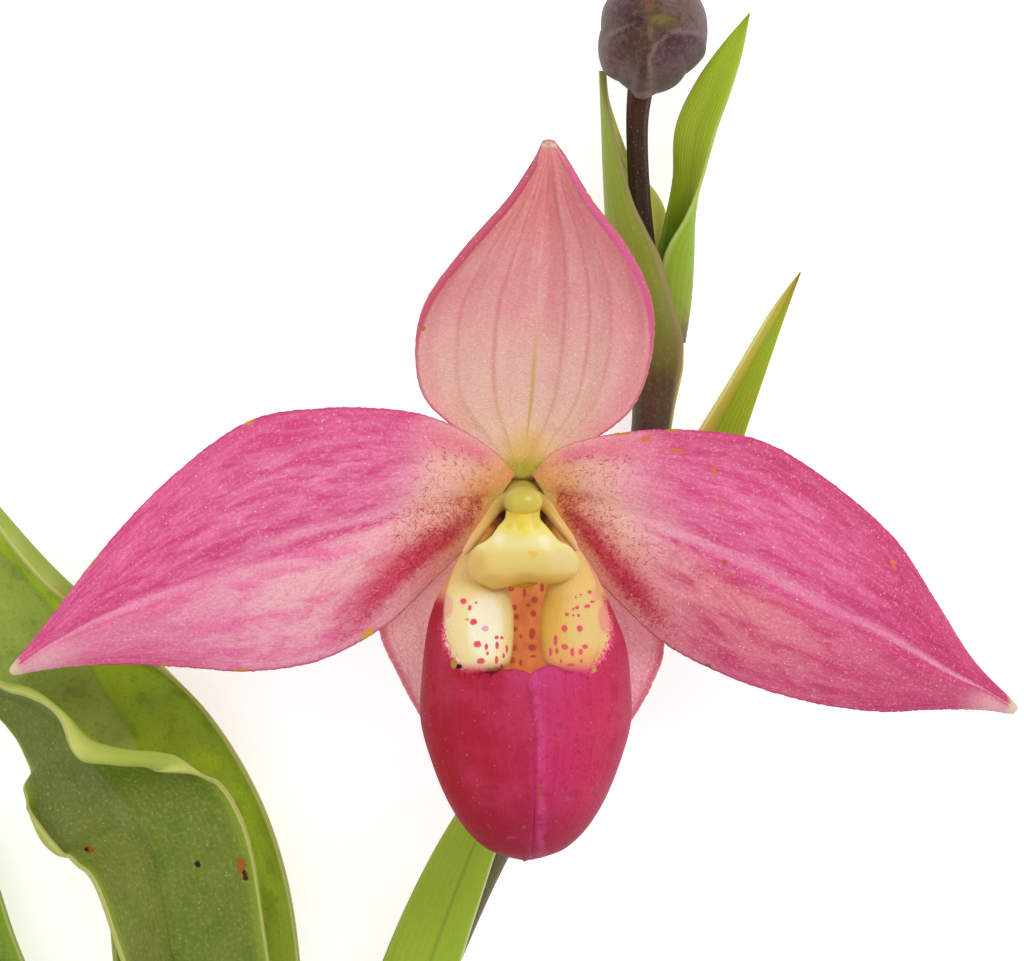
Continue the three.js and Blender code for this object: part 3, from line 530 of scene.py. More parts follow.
LEAVES = {
    "leaf_front": {
        "tints": ("727a32", "697c1e", ("98a838", "bcc45e")),
        "marks": [
            (-0.68, 0.453, 0.06, 0.009, "8a5a14"),
            (-0.70, 0.456, 0.03, 0.005, "2c1808"),
            (0.42, 0.372, 0.035, 0.004, "201408"),
            (0.86, 0.362, 0.06, 0.010, "95601a"),
            (0.88, 0.355, 0.03, 0.005, "3c1c08"),
        ],
        "ripple": (4, 3),
        "stations": [
            sheath(0, -1, LEAF_START, 100),
            sheath(0, -1, 19, 92),
            [-5.6, 34, 8.6, 5.8, 26, 26, 72, 0, 0],
            [-8.6, 53, 8.6, 7.4, 26, 24, 52, 0, 0],
            [-11.6, 70.6, 9.0, 7.9, 24, 8, 36, 0, 0],
            [-12.9, 78.5, 9.4, 7.9, 20, 6, 26, 15, 10],
            [-14.4, 81.9, 9.4, 7.8, 18, 4, 10, 50, 50],
            [-15.9, 84.0, 9.4, 9.0, 18, 4, -14, 125, 220],
            [-17.2, 85.7, 9.4, 8.7, 22, 4, -38, 125, 215],
            [-18.5, 87.5, 9.2, 7.2, 26, 4, -52, 60, 70],
            [-20.2, 89.5, 8.8, 6.5, 24, 0, -56, 0, 14],
            [-22.3, 91.0, 8.2, 5.6, 20, 0, -56, 0, 40],
            [-24.8, 92.0, 7.6, 3.6, 16, 0, -54, 0, 70],
            [-28.0, 92.6, 7.0, 0.4, 10, 0, -40, 0, 0],
        ],
    },
    "leaf_back": {
        # This leaf's tints are painted brighter, as painted light where it lies shaded close to the floor.
        "tints": ("a8be48", "b2cc28", ("7c9824", "a4b450")),
        "ripple": (4, 2.5),
        "stations": [
            sheath(2, -1, LEAF_START, 100),
            sheath(2, -1, 15, 90),
            [-8.4, 30, 5.6, 7.2, 28, 34, 70, 0, 0],
            [-9.4, 51, 3.2, 8.0, 20, 14, 30, 0, 0],
            [-9.2, 68, 2.2, 8.2, 18, 6, 8, 0, 0],
            [-10.6, 78.4, 2.2, 7.9, 18, 4, 4, 0, 10],
            [-14.6, 87.2, 2.4, 7.8, 16, 2, -2, 0, 40],
            [-18.6, 94.2, 2.8, 7.8, 20, 2, -20, 0, 80],
            [-23.0, 100.8, 3.0, 7.6, 26, 2, -40, 0, 90],
            [-31, 108.6, 3.0, 7.2, 24, 0, -32, 0, 70],
            [-43, 119.4, 2.4, 6.4, 18, 0, -12, 0, 40],
            [-56, 130, 1.4, 4.4, 10, 0, 0, 0, 0],
            [-68, 138, 0.3, 0.5, 4, 0, 0, 0, 0],
        ],
    },
    "leaf_outer_left": {
        "tints": ("6c8426", "688c14", ("7d9a2c", "a6b25a")),
        "ripple": (3, 2),
        "stations": [
            sheath(4, -1, LEAF_START, 100),
            sheath(4, -1, 12, 86),
            [-13, 26, 5.4, 8.6, 26, 34, 62, 0, 0],
            [-22, 46, 2.6, 8.6, 18, 10, 24, 0, 0],
            [-31.6, 66, 1.2, 8.6, 14, 2, 4, 0, 0],
            [-39, 85, 0.8, 8.2, 10, 0, 0, 0, 0],
            [-56, 100, 0.6, 7.0, 8, 0, 0, 0, 0],
            [-73, 110, 0.3, 4.4, 6, 0, 0, 0, 0],
            [-87, 116, 0.3, 0.5, 4, 0, 0, 0, 0],
        ],
    },
    "leaf_inner_right": {
        "tints": ("6c8420", "71902a", ("7d9a2c", "a6b25a")),
        "ripple": (4, 2),
        "stations": [
            sheath(1, 1, LEAF_START, 100),
            sheath(1, 1, 17, 90),
            [9, 28, 7.0, 6.8, 28, 36, -72, 0, 0],
            [18, 39, 4.8, 7.8, 20, 14, -32, 0, 0],
            [31, 48, 2.8, 8.0, 16, 4, -8, 0, 0],
            [48, 53, 2.0, 7.6, 14, 0, 0, 0, 0],
            [66, 53, 1.2, 6.2, 10, 0, 0, 0, 0],
            [82, 49, 0.5, 3.6, 6, 0, 0, 0, 0],
            [93, 44, 0.3, 0.5, 4, 0, 0, 0, 0],
        ],
    },
    "leaf_outer_right": {
        "tints": ("687f1e", "6f8a24", ("7d9a2c", "a6b25a")),
        "ripple": (3, 2),
        "stations": [
            sheath(3, 1, LEAF_START, 100),
            sheath(3, 1, 13, 86),
            [14, 19, 5.8, 8.4, 26, 36, -64, 0, 0],
            [26, 26, 2.8, 8.6, 18, 12, -26, 0, 0],
            [42, 30, 1.2, 8.6, 14, 2, -4, 0, 0],
            [62, 30, 0.8, 8.0, 10, 0, 0, 0, 0],
            [81, 26, 0.6, 6.4, 8, 0, 0, 0, 0],
            [98, 19, 0.3, 3.6, 6, 0, 0, 0, 0],
            [109, 13, 0.3, 0.5, 4, 0, 0, 0, 0],
        ],
    },
}
LEAF_STEPS = 210
LEAF_COLUMNS = 23
MIDRIB_DEPTH = 0.12  # the midrib is a groove above and a keel below
MIDRIB_WIDTH = 0.03

leaf_across = np.linspace(-1, 1, 2 * LEAF_COLUMNS + 1)
leaf_relief = -MIDRIB_DEPTH * bell(0, MIDRIB_WIDTH, leaf_across)
for node, leaf in LEAVES.items():
    leaf_paint = leaf_material(node + "_green", *leaf["tints"], leaf.get("marks", ()))
    blade = folded_blade(leaf["stations"], LEAF_STEPS, LEAF_COLUMNS, *leaf["ripple"])
    points, faces, pattern = closed_blade(blade, LEAF_THICK, leaf_relief, floor=0.0)
    leaf_piece = make_piece(node + "_blade", points, [faces], [leaf_paint], pattern)
    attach(leaf_piece, "root")
    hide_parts(node)

# ---------------------------------------------------------------- cut base
# The stub of the creeping stem that the fan of leaves grew from, woody and cut across. The leaf bases
# and the flower stem start on its flat top.

CUT_BASE = [[0, -5, 8, 7.2], [0, -2.4, 8, 8.2], [0, 1, 8, 8.4], [0, 4.4, 8, 8.1]]
CUT_BASE_STEPS = 24
CUT_BASE_SIDES = 96
CUT_BASE_RIBS = (9, 0.12)  # how many, and how high


def round_turns(sides):
    """Angles of that many even steps once round."""
    return np.arange(sides) * 2 * np.pi / sides


def stem_rings(rows, steps, sides, ribs=0, rib_height=0.0, floor=None):
    """Rings round a curved centre line of [x, y, z, radius] rows, counterclockwise about its direction.
    The radius swells by rib height times the cosine of ribs turns round the ring."""
    t = np.linspace(0, 1, steps + 1)
    r = along(rows, t)
    tangent = heading(rows, t)
    side = np.array([1.0, 0, 0])
    across = unit(side - tangent * (tangent @ side)[:, None])
    other = np.cross(tangent, across)
    turn = round_turns(sides)
    radius = (r[:, 3:4] + rib_height * np.cos(ribs * turn))[..., None]
    ring = across[:, None] * np.cos(turn)[:, None] + other[:, None] * np.sin(turn)[:, None]
    rings = r[:, None, :3] + ring * radius
    if floor is not None:
        rings[..., 2] = np.maximum(rings[..., 2], floor)
    return rings


def closed_rings(rings):
    """Closed body through rings: points, blocks of faces and the pattern (cosine of the place round the
    ring, lengthwise from 0 to 1, sine of the place). Each end is a fan round the middle of its ring."""
    rows, sides = rings.shape[:2]
    index = np.arange(rows * sides).reshape(rows, sides)
    turned = np.roll(index, -1, axis=1)
    walls = np.stack((index[:-1], turned[:-1], turned[1:], index[1:]), -1).reshape(-1, 4)
    foot, tip = rows * sides, rows * sides + 1
    foot_fan = np.stack((turned[0], index[0], np.full(sides, foot)), -1)
    tip_fan = np.stack((index[-1], turned[-1], np.full(sides, tip)), -1)
    points = np.concatenate((rings.reshape(-1, 3), rings[:1].mean(1), rings[-1:].mean(1)))
    turn = round_turns(sides)
    lengthwise = np.linspace(0, 1, rows)
    grid = np.stack(np.broadcast_arrays(np.cos(turn), lengthwise[:, None], np.sin(turn)), -1)
    ends = [[0, 0, 0], [0, 1, 0]]
    return points, [walls, foot_fan, tip_fan], np.concatenate((grid.reshape(-1, 3), ends))


base_paint, tree, shader = new_material("cut_base_brown", 0.7)
place = object_place(tree)
scar = noise(place, 0.5 * PER_MM, 4, 0.6)
tint = blended(edge(0.35, 0.65, scar), "6d5a34", "93834f")
wire(shader, tint, "Base Color")
bump(shader, scar, 0.5)

cut_paint, tree, shader = new_material("cut_face_tan", 0.6)
place = object_place(tree)
fibres = place_effect(scattered_spots, Vector=place, Scale=1.1 * PER_MM, Share=0.6, Size=0.25)["Spots"]
tint = blended(times(fibres, 0.6), "c9b483", "8a6a3c")
wire(shader, tint, "Base Color")

base_rings = stem_rings(CUT_BASE, CUT_BASE_STEPS, CUT_BASE_SIDES, *CUT_BASE_RIBS, floor=0.0)
points, blocks, pattern = closed_rings(base_rings)
base_piece = make_piece("cut_base_stub", points, blocks, [base_paint, cut_paint, base_paint], pattern)
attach(base_piece, "root")
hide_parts("cut_base")

# ---------------------------------------------------------------- flower stem and ovaries
# One round downy stem climbs through the fan and carries the open flower, then the bud. The open
# flower's six-ribbed ovary rises from it to the green top that the flower stands on.

# Centre lines [x, y, z, radius], with how many ribs each has and how high, and its colours.
STEMS = {
    "flower_stem": {
        "rows": [
            [0, 4.75, 8, 1.7],
            [0.2, 20, 8, 1.6],
            [1.6, 40, 6.8, 1.6],
            [5.9, 58, 6.2, 1.6],
            [12.9, 76, 5.6, 1.6],
            [22.4, 94, 5.2, 1.6],
            [25.6, 104, 5.0, 1.6],
            [27.6, 113, 5.0, 1.05],
            [28.0, 118.5, 5.0, 0.95],
        ],
        "steps": 160,
        "ribs": (0, 0.0),
        "stops": [(0, "6d7038"), (1, "4a3830")],
        "streak": "7c6a4c",
    },
    "flower_ovary": {
        "rows": [
            [24.0, 98.0, 6.6, 1.2],
            [23.2, 100.0, 7.8, 1.35],
            [21.6, 102.8, 9.8, 1.6],
            [19.4, 105.6, 12.8, 1.9],
            [17.6, 107.4, 16.2, 2.1],
            [17, 108, 18.2, 2.3],
            [17, 108, 19.8, 2.4],
        ],
        "steps": 90,
        "ribs": (6, 0.10),
        "stops": [(0, "5a4038"), (0.84, "6b4a3c"), (0.90, "a09a2c")],
        "streak": "7a5c4a",
    },
    "bud_ovary": {
        "rows": [
            [28.0, 118.85, 5.0, 0.95],
            [27.7, 124, 5.0, 0.86],
            [26.8, 132, 5.0, 0.84],
            [26.5, 138.6, 5.2, 0.86],
            [26.9, 143.0, 6.4, 1.1],
        ],
        "steps": 90,
        "ribs": (6, 0.05),
        "stops": [(0, "24140c"), (0.7, "38200f"), (1, "4c2f1c")],
        "streak": "5a3522",
    },
}
STEM_SIDES = 48


def graded(value, stops):
    """Colour that runs through (place, colour) stops as the value passes their places."""
    colour = hue(stops[0][1])
    for (before, _), (place, code) in zip(stops, stops[1:]):
        colour = blended(edge(before, place, value), colour, code)
    return colour


def stem_material(name, stops, streak):
    """Downy dull surface graded from foot to tip by (place, colour) stops, and streaked lengthwise."""
    material, tree, shader = new_material(name, 0.6, Specular_IOR_Level=0.25, Sheen_Weight=0.12)
    round_x, lengthwise, round_y = pattern_of(tree)
    place = object_place(tree)
    lines = vector_of(times(round_x, 9.0), times(lengthwise, 14.0), times(round_y, 9.0))
    down = noise(lines, 1.0, 4, 0.6)
    grain = place_effect(cell_grain, Vector=place, Scale=5.5 * PER_MM, Share=0.06)
    tint = graded(lengthwise, stops)
    # The grain's painted glints go over the streaks.
    tint = layered(tint, (streak, edge(0.4, 0.7, down), 0.35), ("b8a596", grain["Sparkle"], 0.3))
    wire(shader, tint, "Base Color")
    bump(shader, sum_of("ADD", grain["Height"], down), 0.06)
    return material


for node, stem in STEMS.items():
    stem_paint = stem_material(node + "_brown", stem["stops"], stem["streak"])
    rings = stem_rings(stem["rows"], stem["steps"], STEM_SIDES, *stem["ribs"])
    points, blocks, pattern = closed_rings(rings)
    stem_piece = make_piece(node + "_body", points, blocks, [stem_paint] * 3, pattern)
    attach(stem_piece, "root")
    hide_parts(node)

# ---------------------------------------------------------------- bracts
# Four thin green scales that clasp the flower stem at its joints. The one halfway up lies flat over the
# stem. The flower's own is folded along its keel, and two tall ones sheathe the foot of the bud's ovary.

BRACT_THICK = 0.6
BRACTS = {
    "bract_stem": {
        "outside": [(0, "92b024"), (1, "98b428")],
        "inside": [(0, "8ca828"), (0.6, "98b428"), (1, "9cb834")],
        "midrib": "7d9430",
        "margins": ("a4b84c", "dce0a4"),
        "stations": [
            [2.4, 45.6, 9.2, 4.4, 0, -112, 0, 0, 0, 4.4],
            [4.4, 54, 9.0, 4.5, 0, -96, 2, 0, 0, 4.2],
            [6.9, 62, 8.9, 4.2, 0, -60, 6, 0, 0, 3.5],
            [9.4, 70, 8.8, 3.7, 0, -36, 8, 0, 0, 2.75],
            [12.2, 77.5, 8.8, 3.0, 0, -26, 6, 0, 0, 2.15],
            [14.8, 83.6, 8.9, 1.9, 0, -16, 2, 0, 0, 1.4],
            [17.2, 88.6, 9.0, 0.1, 0, -4, 0, 0, 0, 0.1],
        ],
    },
    "bract_flower": {
        "outside": [(0, "98b428"), (0.8, "9cba26"), (0.95, "a89c30"), (1, "a8742c")],
        "inside": [(0, "94b02c"), (0.8, "9cba26"), (0.95, "aaa42c"), (1, "b07c34")],
        "midrib": "a0662c",
        "margins": ("dfe08c", "a4b43c"),
        "left": "bfb844",
        "stations": [
            [25.4, 96.2, 3.6, 3.6, 0, 96, -50, 0, 0],
            [27.2, 100.6, 3.0, 3.5, 10, 62, -44, 0, 0],
            [30.0, 105.2, 3.6, 3.2, 26, 26, -20, 0, 0],
            [30.9, 109.4, 5.2, 3.3, 36, 10, 8, 0, 0],
            [32.4, 113.2, 6.8, 2.9, 42, 4, 24, 0, 0],
            [35.0, 118.0, 8.4, 1.8, 40, 0, 26, 0, 0],
            [37.3, 122.2, 9.4, 0.9, 30, 0, 20, 0, 0],
            [39.7, 126.5, 10.2, 0.06, 8, 0, 0, 0, 0],
        ],
    },
    "bract_upper_left": {
        "outside": [(0.04, "4c3a34"), (0.16, "5c4a34"), (0.30, "787c34"), (0.45, "84902c"), (1, "8fa434")],
        "inside": [(0, "a09a44"), (0.5, "c4c250"), (1, "bcc448")],
        "midrib": "849430",
        "margins": ("948058", "ccc060"),
        "stations": [
            [26.1, 111.6, 5.0, 3.9, 0, 150, 88, 0, 0, 3.9],
            [26.4, 115.4, 5.0, 4.3, 0, 150, 86, 0, 0, 4.3],
            [26.1, 118.2, 5.0, 5.7, 0, 128, 86, 0, 0, 5.7],
            [25.6, 120.8, 5.1, 6.7, 0, 115, 87, 0, 0, 6.5],
            [25.1, 124.4, 5.2, 6.2, 0, 104, 87, 0, 0, 6.0],
            [24.5, 127.8, 5.2, 5.7, 0, 98, 88, 0, 0, 6.2],
            [24.2, 130.4, 5.4, 4.7, 0, 90, 87, 0, 0, 7.3],
            [24.05, 132.8, 5.6, 3.5, 0, 80, 87, 0, 0, 6.7],
            [23.9, 136.0, 5.8, 2.6, 0, 60, 88, 0, 0, 4.0],
            [23.8, 139.2, 6.0, 1.6, 0, 46, 84, 0, 0, 1.8],
            [23.65, 143.2, 6.2, 0.1, 0, 0, 80, 0, 0, 0.1],
        ],
    },
    "bract_upper_right": {
        "outside": [(0.02, "6e5a34"), (0.12, "8ca02c"), (0.32, "88a820"), (0.5, "9cba26"), (1, "a4c226")],
        "inside": [(0.02, "6e5a34"), (0.12, "8ca02c"), (0.32, "7ca01c"), (0.5, "a0ba28"), (1, "a8c428")],
        "midrib": "a4bc50",
        "margins": ("a9bc4c", "b4c46a"),
        "stations": [
            [30.2, 120.9, 5.0, 3.2, 0, 100, -88, 0, 0],
            [30.7, 124.4, 5.05, 3.8, 0, 100, -88, 0, 0],
            [30.9, 128.0, 5.05, 3.9, 0, 90, -84, 0, 0],
            [30.9, 131.2, 5.0, 2.8, 4, 50, -70, 0, 0],
            [31.0, 134.4, 5.1, 2.0, 6, 14, -54, 0, 0],
            [31.4, 138.2, 5.8, 1.9, 6, 6, -30, 0, 0],
            [32.7, 141.6, 6.6, 1.6, 6, 4, -20, 0, 0],
            [34.2, 144.8, 7.4, 0.95, 4, 0, -8, 0, 0],
            [35.65, 147.8, 8.0, 0.06, 2, 0, 0, 0, 0],
        ],
    },
}
BRACT_STEPS = 120
BRACT_COLUMNS = 20


def bract_material(name, outside, inside, midrib, margins, left=None):
    """Thin green scale, graded from foot to tip by stops on each face, with faint veins, a midrib line
    and two margins of their own colours. left is the colour of its left half where that differs."""
    material, tree, shader = new_material(name, 0.5, Specular_IOR_Level=0.25)
    across, lengthwise, upper = pattern_of(tree)
    place = object_place(tree)
    cloud = noise(place, 0.6 * PER_MM, 3)
    speckle = noise(place, 3.0 * PER_MM, 2)
    veins = place_effect(
        parallel_veins, Across=across, Lengthwise=lengthwise, Count=7.0, Width=0.4
    )["Veins"]
    onward = sum_of("ADD", lengthwise, swing(cloud, 0.12))
    green = blended(upper, graded(onward, outside), graded(onward, inside))
    if left:
        green = layered(green, (left, edge(0.0, -0.06, across)))
    spine = edge(0.07, 0.01, sum_of("ABSOLUTE", across))
    green = layered(
        green,
        ("b9c06a", edge(0.5, 0.72, speckle), 0.12),
        ("55701a", veins, 0.06),
        (midrib, spine, 0.7),
    )
    for sign, margin in zip((-1.0, 1.0), margins):
        green = layered(green, (margin, edge(0.86, 0.98, times(across, sign)), 0.8))
    wire(shader, green, "Base Color")
    bump(shader, sum_of("MULTIPLY_ADD", speckle, 0.5, veins), 0.02)
    return material


for node, bract in BRACTS.items():
    looks = {key: value for key, value in bract.items() if key != "stations"}
    bract_paint = bract_material(node + "_green", **looks)
    blade = folded_blade(bract["stations"], BRACT_STEPS, BRACT_COLUMNS)
    points, faces, pattern = closed_blade(blade, BRACT_THICK)
    bract_piece = make_piece(node + "_blade", points, [faces], [bract_paint], pattern)
    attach(bract_piece, "root")
    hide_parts(node)

# ---------------------------------------------------------------- sepals
# The back sepal stands behind the open flower with its margins turned in, and two sepals grown into one
# stand behind the pouch. Both are thin, cell-grained and pale, on the flat top of the ovary.

FLOWER_CENTRE = (17, 108, 22)
PETAL_THICK = 0.7
GROOVE_REACH = 0.16
SEPAL_RAGGED = 0.025


def petal_grid(rows, groove, steps, columns, ragged, seed):
    """Middle surface of a petal or sepal: at w across, the middle plus |w| of the way to the margin.

    A row is [margin x, y, middle x, y, margin x, y, middle z, margin z, margin z] from the flower's
    centre. The height is the middle's plus w² of its difference to the margin's, less a groove of
    exp(-(w / reach)²) along the midrib. Margins wander by up to ragged mm, as a sum of seeded waves.
    """
    t = np.linspace(0, 1, steps + 1)
    r = along(rows, t)
    w = np.linspace(-1, 1, 2 * columns + 1)
    out = np.abs(w)[None, :, None]
    margin = np.where((w < 0)[None, :, None], r[:, None, 0:2], r[:, None, 4:6])
    middle = r[:, None, 2:4]
    draw = np.random.default_rng(seed)
    waves = np.arange(9, 120, 6)
    turns = t[:, None, None] * waves * 2 * np.pi + draw.uniform(0, 6.3, (2, waves.size))
    wander = ragged * np.sin(turns).sum(-1) / np.sqrt(waves.size)
    side = np.where(w < 0, wander[:, 0:1], wander[:, 1:2]) * np.abs(w) ** 6
    flat = middle + (margin - middle) * out + unit(margin - middle) * side[..., None]
    edge_z = np.where(w < 0, r[:, 7:8], r[:, 8:9])
    depth = groove * smooth(0, 0.1, t) * smooth(1, 0.7, t)
    z = r[:, 6:7] + (edge_z - r[:, 6:7]) * w**2 - depth[:, None] * bell(0, GROOVE_REACH, w)
    return np.concatenate((flat, z[..., None]), -1) + FLOWER_CENTRE


def near(centre, half, value):
    """1 where the value is at the centre, falling smoothly to 0 half away from it."""
    gap = sum_of("ABSOLUTE", sum_of("SUBTRACT", value, centre))
    return edge(half, 0.0, gap)


def course(value, stops):
    """Value that runs through (place, value) stops, between 0 and 1, in smooth steps."""
    made = add(tree_of(value), "ShaderNodeValToRGB", {0: value})
    made.color_ramp.interpolation = "EASE"
    while len(made.color_ramp.elements) < len(stops):
        made.color_ramp.elements.new(1.0)
    for stop, (place, level) in zip(made.color_ramp.elements, stops):
        stop.position = place
        stop.color = (level, level, level, 1)
    return made.outputs["Color"]


# Streaks: soft lengthwise marks that follow a blade, drifting across it with the given slant.
streaks, given, result = effect(
    "streaks",
    {"Across": "Float", "Lengthwise": "Float", "Fineness": "Float", "Slant": "Float", "Seed": "Float"},
    {"Streaks": "Float"},
)
drift = sum_of("MULTIPLY_ADD", given["Lengthwise"], given["Slant"], given["Across"])
streak_place = vector_of(times(drift, given["Fineness"]), times(given["Lengthwise"], 9.0), given["Seed"])
streaks.links.new(noise(streak_place, 1.0, 4, 0.6), result["Streaks"])

BACK_SEPAL_ROWS = [
    [-0.75, 1.75, 0.05, 1.6, 0.85, 1.75, -2.2, -1.9, -1.9],
    [-4.2, 4.8, 0.5, 5.2, 5.0, 4.3, -3.6, -2.7, -2.7],
    [-7.7, 8.0, 1.0, 8.4, 8.7, 7.2, -3.7, -1.4, -1.4],
    [-8.5, 11.9, 1.3, 12.2, 10.3, 11.3, -3.2, 0, 0],
    [-7.7, 15.9, 1.6, 16.2, 10.4, 15.8, -2.4, 1.2, 1.2],
    [-4.8, 20.0, 1.9, 20.4, 8.6, 20.0, -1.0, 2.3, 2.3],
    [-1.4, 23.8, 2.0, 24.2, 5.7, 23.8, 1.0, 2.9, 2.9],
    [0.8, 26.8, 2.1, 27.0, 3.8, 26.8, 2.8, 3.2, 3.2],
    [1.6, 28.2, 2.1, 28.3, 2.6, 28.2, 3.9, 4.0, 4.0],
]
BACK_SEPAL_STEPS = 150
BACK_SEPAL_COLUMNS = 50
BACK_SEPAL_GROOVE = 0.4
BACK_SEPAL_PLEATS = {"height": 0.10, "count": 3.1}  # from the midrib to each margin
BACK_SEPAL_ROLL = {"height": 0.55, "middle": 0.95, "half": 0.05}  # of the margins that turn in

# Veins of the back sepal: place across and strength.
BACK_SEPAL_VEINS = [(-0.68, 0.35), (-0.37, 0.5), (0.22, 0.4), (0.44, 0.5), (0.64, 0.35)]

sepal_paint, tree, shader = new_material("back_sepal_pink", 0.4, Specular_IOR_Level=0.3, Sheen_Weight=0.05)
across, lengthwise, upper = pattern_of(tree)
place = object_place(tree)
out = sum_of("ABSOLUTE", across)
grain = place_effect(cell_grain, Vector=place, Scale=6.5 * PER_MM, Share=0.05)
cloud = noise(place, 0.35 * PER_MM, 3)
speckle = noise(place, 3.4 * PER_MM, 3, 0.65)
fine = place_effect(
    streaks, Across=across, Lengthwise=lengthwise, Fineness=12.0, Slant=0.0, Seed=3.0
)["Streaks"]
onward = sum_of("MULTIPLY_ADD", cloud, 0.1, lengthwise)
tint = graded(
    onward, [(0.14, "e6c4a4"), (0.34, "e2b4a6"), (0.6, "e09896"), (0.82, "e88c8e"), (1.0, "f4989a")]
)
tint = layered(
    tint,
    ("e8c4b4", edge(0.45, 0.7, fine), 0.35),
    ("dc7f88", edge(0.5, 0.25, cloud), 0.3),
    ("ec8c98", edge(0.5, 0.95, across), edge(0.08, 0.2, lengthwise), 0.6),
    ("e89298", edge(-0.7, -0.97, across), edge(0.08, 0.2, lengthwise), 0.5),
    ("d07478", edge(0.52, 0.7, speckle), 0.25),
    ("efd0c2", edge(0.48, 0.3, speckle), 0.25),
)
waver = sum_of("MULTIPLY_ADD", noise(vector_of(lengthwise, 0.3), 7.0), 0.05, across)
vein_tint = blended(edge(0.15, 0.4, lengthwise), "cfa058", "cc6c72")
for vein_across, strength in BACK_SEPAL_VEINS:
    vein = times(near(vein_across + 0.025, 0.035, waver), edge(0.98, 0.8, lengthwise))
    tint = layered(tint, (vein_tint, vein, strength))
median = times(near(0.11, 0.13, across), edge(0.35, 0.5, lengthwise), edge(0.95, 0.8, lengthwise))
median_vein = times(near(-0.03, 0.04, across), edge(0.5, 0.28, lengthwise))
claw = edge(0.19, 0.07, sum_of("MULTIPLY_ADD", times(out, out), 0.16, lengthwise))
turned_in = course(lengthwise, [(0.0, 0.0), (0.3, 0.02), (0.5, 0.6), (0.8, 0.9), (0.96, 0.3)])
rim_start = sum_of("MULTIPLY_ADD", turned_in, -0.1, 1.0)
rim = edge(0.0, 0.04, sum_of("SUBTRACT", out, rim_start))
rim_tint = blended(edge(-0.5, 0.5, across), "c03a5c", "d2508a")
specks = place_effect(scattered_spots, Vector=place, Scale=0.22 * PER_MM, Share=0.12, Size=0.07)
tint = layered(
    tint,
    ("d3686f", median, 0.4),
    ("bfa03c", median_vein, 0.8),
    ("dcb45a", claw, 0.9),
    ("b3a72c", edge(0.075, 0.03, lengthwise)),
    (rim_tint, rim, 0.9),
    ("cb6478", edge(0.975, 0.995, out), 0.6),
    ("e6c9a8", edge(0.975, 0.995, lengthwise)),
    ("b0642c", specks["Spots"], 0.8),
    # Painted glints on the grain's cells.
    ("fff4ee", grain["Sparkle"], 0.5),
)
tint = blended(upper, "c9586c", tint)
wire(shader, tint, "Base Color")
gloss = blended(edge(0.12, 0.04, lengthwise), (0.42, 0.42, 0.42, 1), (0.12, 0.12, 0.12, 1))
wire(shader, gloss, "Roughness")
bump(shader, sum_of("MULTIPLY_ADD", fine, 1.5, grain["Height"]), 0.05)

sepal_w = np.linspace(-1, 1, 2 * BACK_SEPAL_COLUMNS + 1)[None, :]
sepal_t = np.linspace(0, 1, BACK_SEPAL_STEPS + 1)[:, None]
pleats = BACK_SEPAL_PLEATS["height"] * np.cos(sepal_w * BACK_SEPAL_PLEATS["count"] * 2 * np.pi)
pleats = pleats * smooth(0, 0.2, sepal_t) * smooth(1, 0.7, sepal_t)
margin_roll = BACK_SEPAL_ROLL["height"] * bell(
    BACK_SEPAL_ROLL["middle"], BACK_SEPAL_ROLL["half"], np.abs(sepal_w)
)
margin_roll = margin_roll * (smooth(0.35, 0.6, sepal_t) * smooth(1.0, 0.85, sepal_t))
back_sepal = petal_grid(
    BACK_SEPAL_ROWS, BACK_SEPAL_GROOVE, BACK_SEPAL_STEPS, BACK_SEPAL_COLUMNS, SEPAL_RAGGED, seed=5
)
points, faces, pattern = closed_blade(back_sepal, PETAL_THICK, pleats + margin_roll)
back_sepal_piece = make_piece("back_sepal_blade", points, [faces], [sepal_paint], pattern)
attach(back_sepal_piece, "root")
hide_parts("dorsal_sepal")

SYNSEPAL_ROWS = [
    [1.5, -2.85, 0, -2.8, -1.5, -2.85, -3.4, -3.2, -3.2],
    [6.3, -4.8, 0.1, -5.6, -6.6, -4.8, -4.6, -4.0, -4.0],
    [10.5, -8.0, 0.2, -8.8, -11.0, -7.3, -5.8, -4.4, -4.4],
    [11.4, -11.8, 0.3, -12.2, -11.4, -10.6, -6.4, -4.4, -4.4],
    [10.4, -14.9, 0.4, -15.6, -9.9, -14.1, -6.8, -4.6, -4.6],
    [8.7, -17.9, 0.4, -18.8, -8.1, -17.5, -7.0, -5.2, -5.2],
    [6.3, -21.1, 0.5, -21.8, -5.7, -21.1, -7.0, -5.9, -5.9],
    [3.4, -24.0, 0.5, -24.5, -2.5, -24.0, -6.9, -6.6, -6.6],
    [1.4, -25.6, 0.5, -26.0, -0.4, -25.6, -6.8, -6.8, -6.8],
]
SYNSEPAL_STEPS = 130
SYNSEPAL_COLUMNS = 45
SYNSEPAL_GROOVE = 0.3

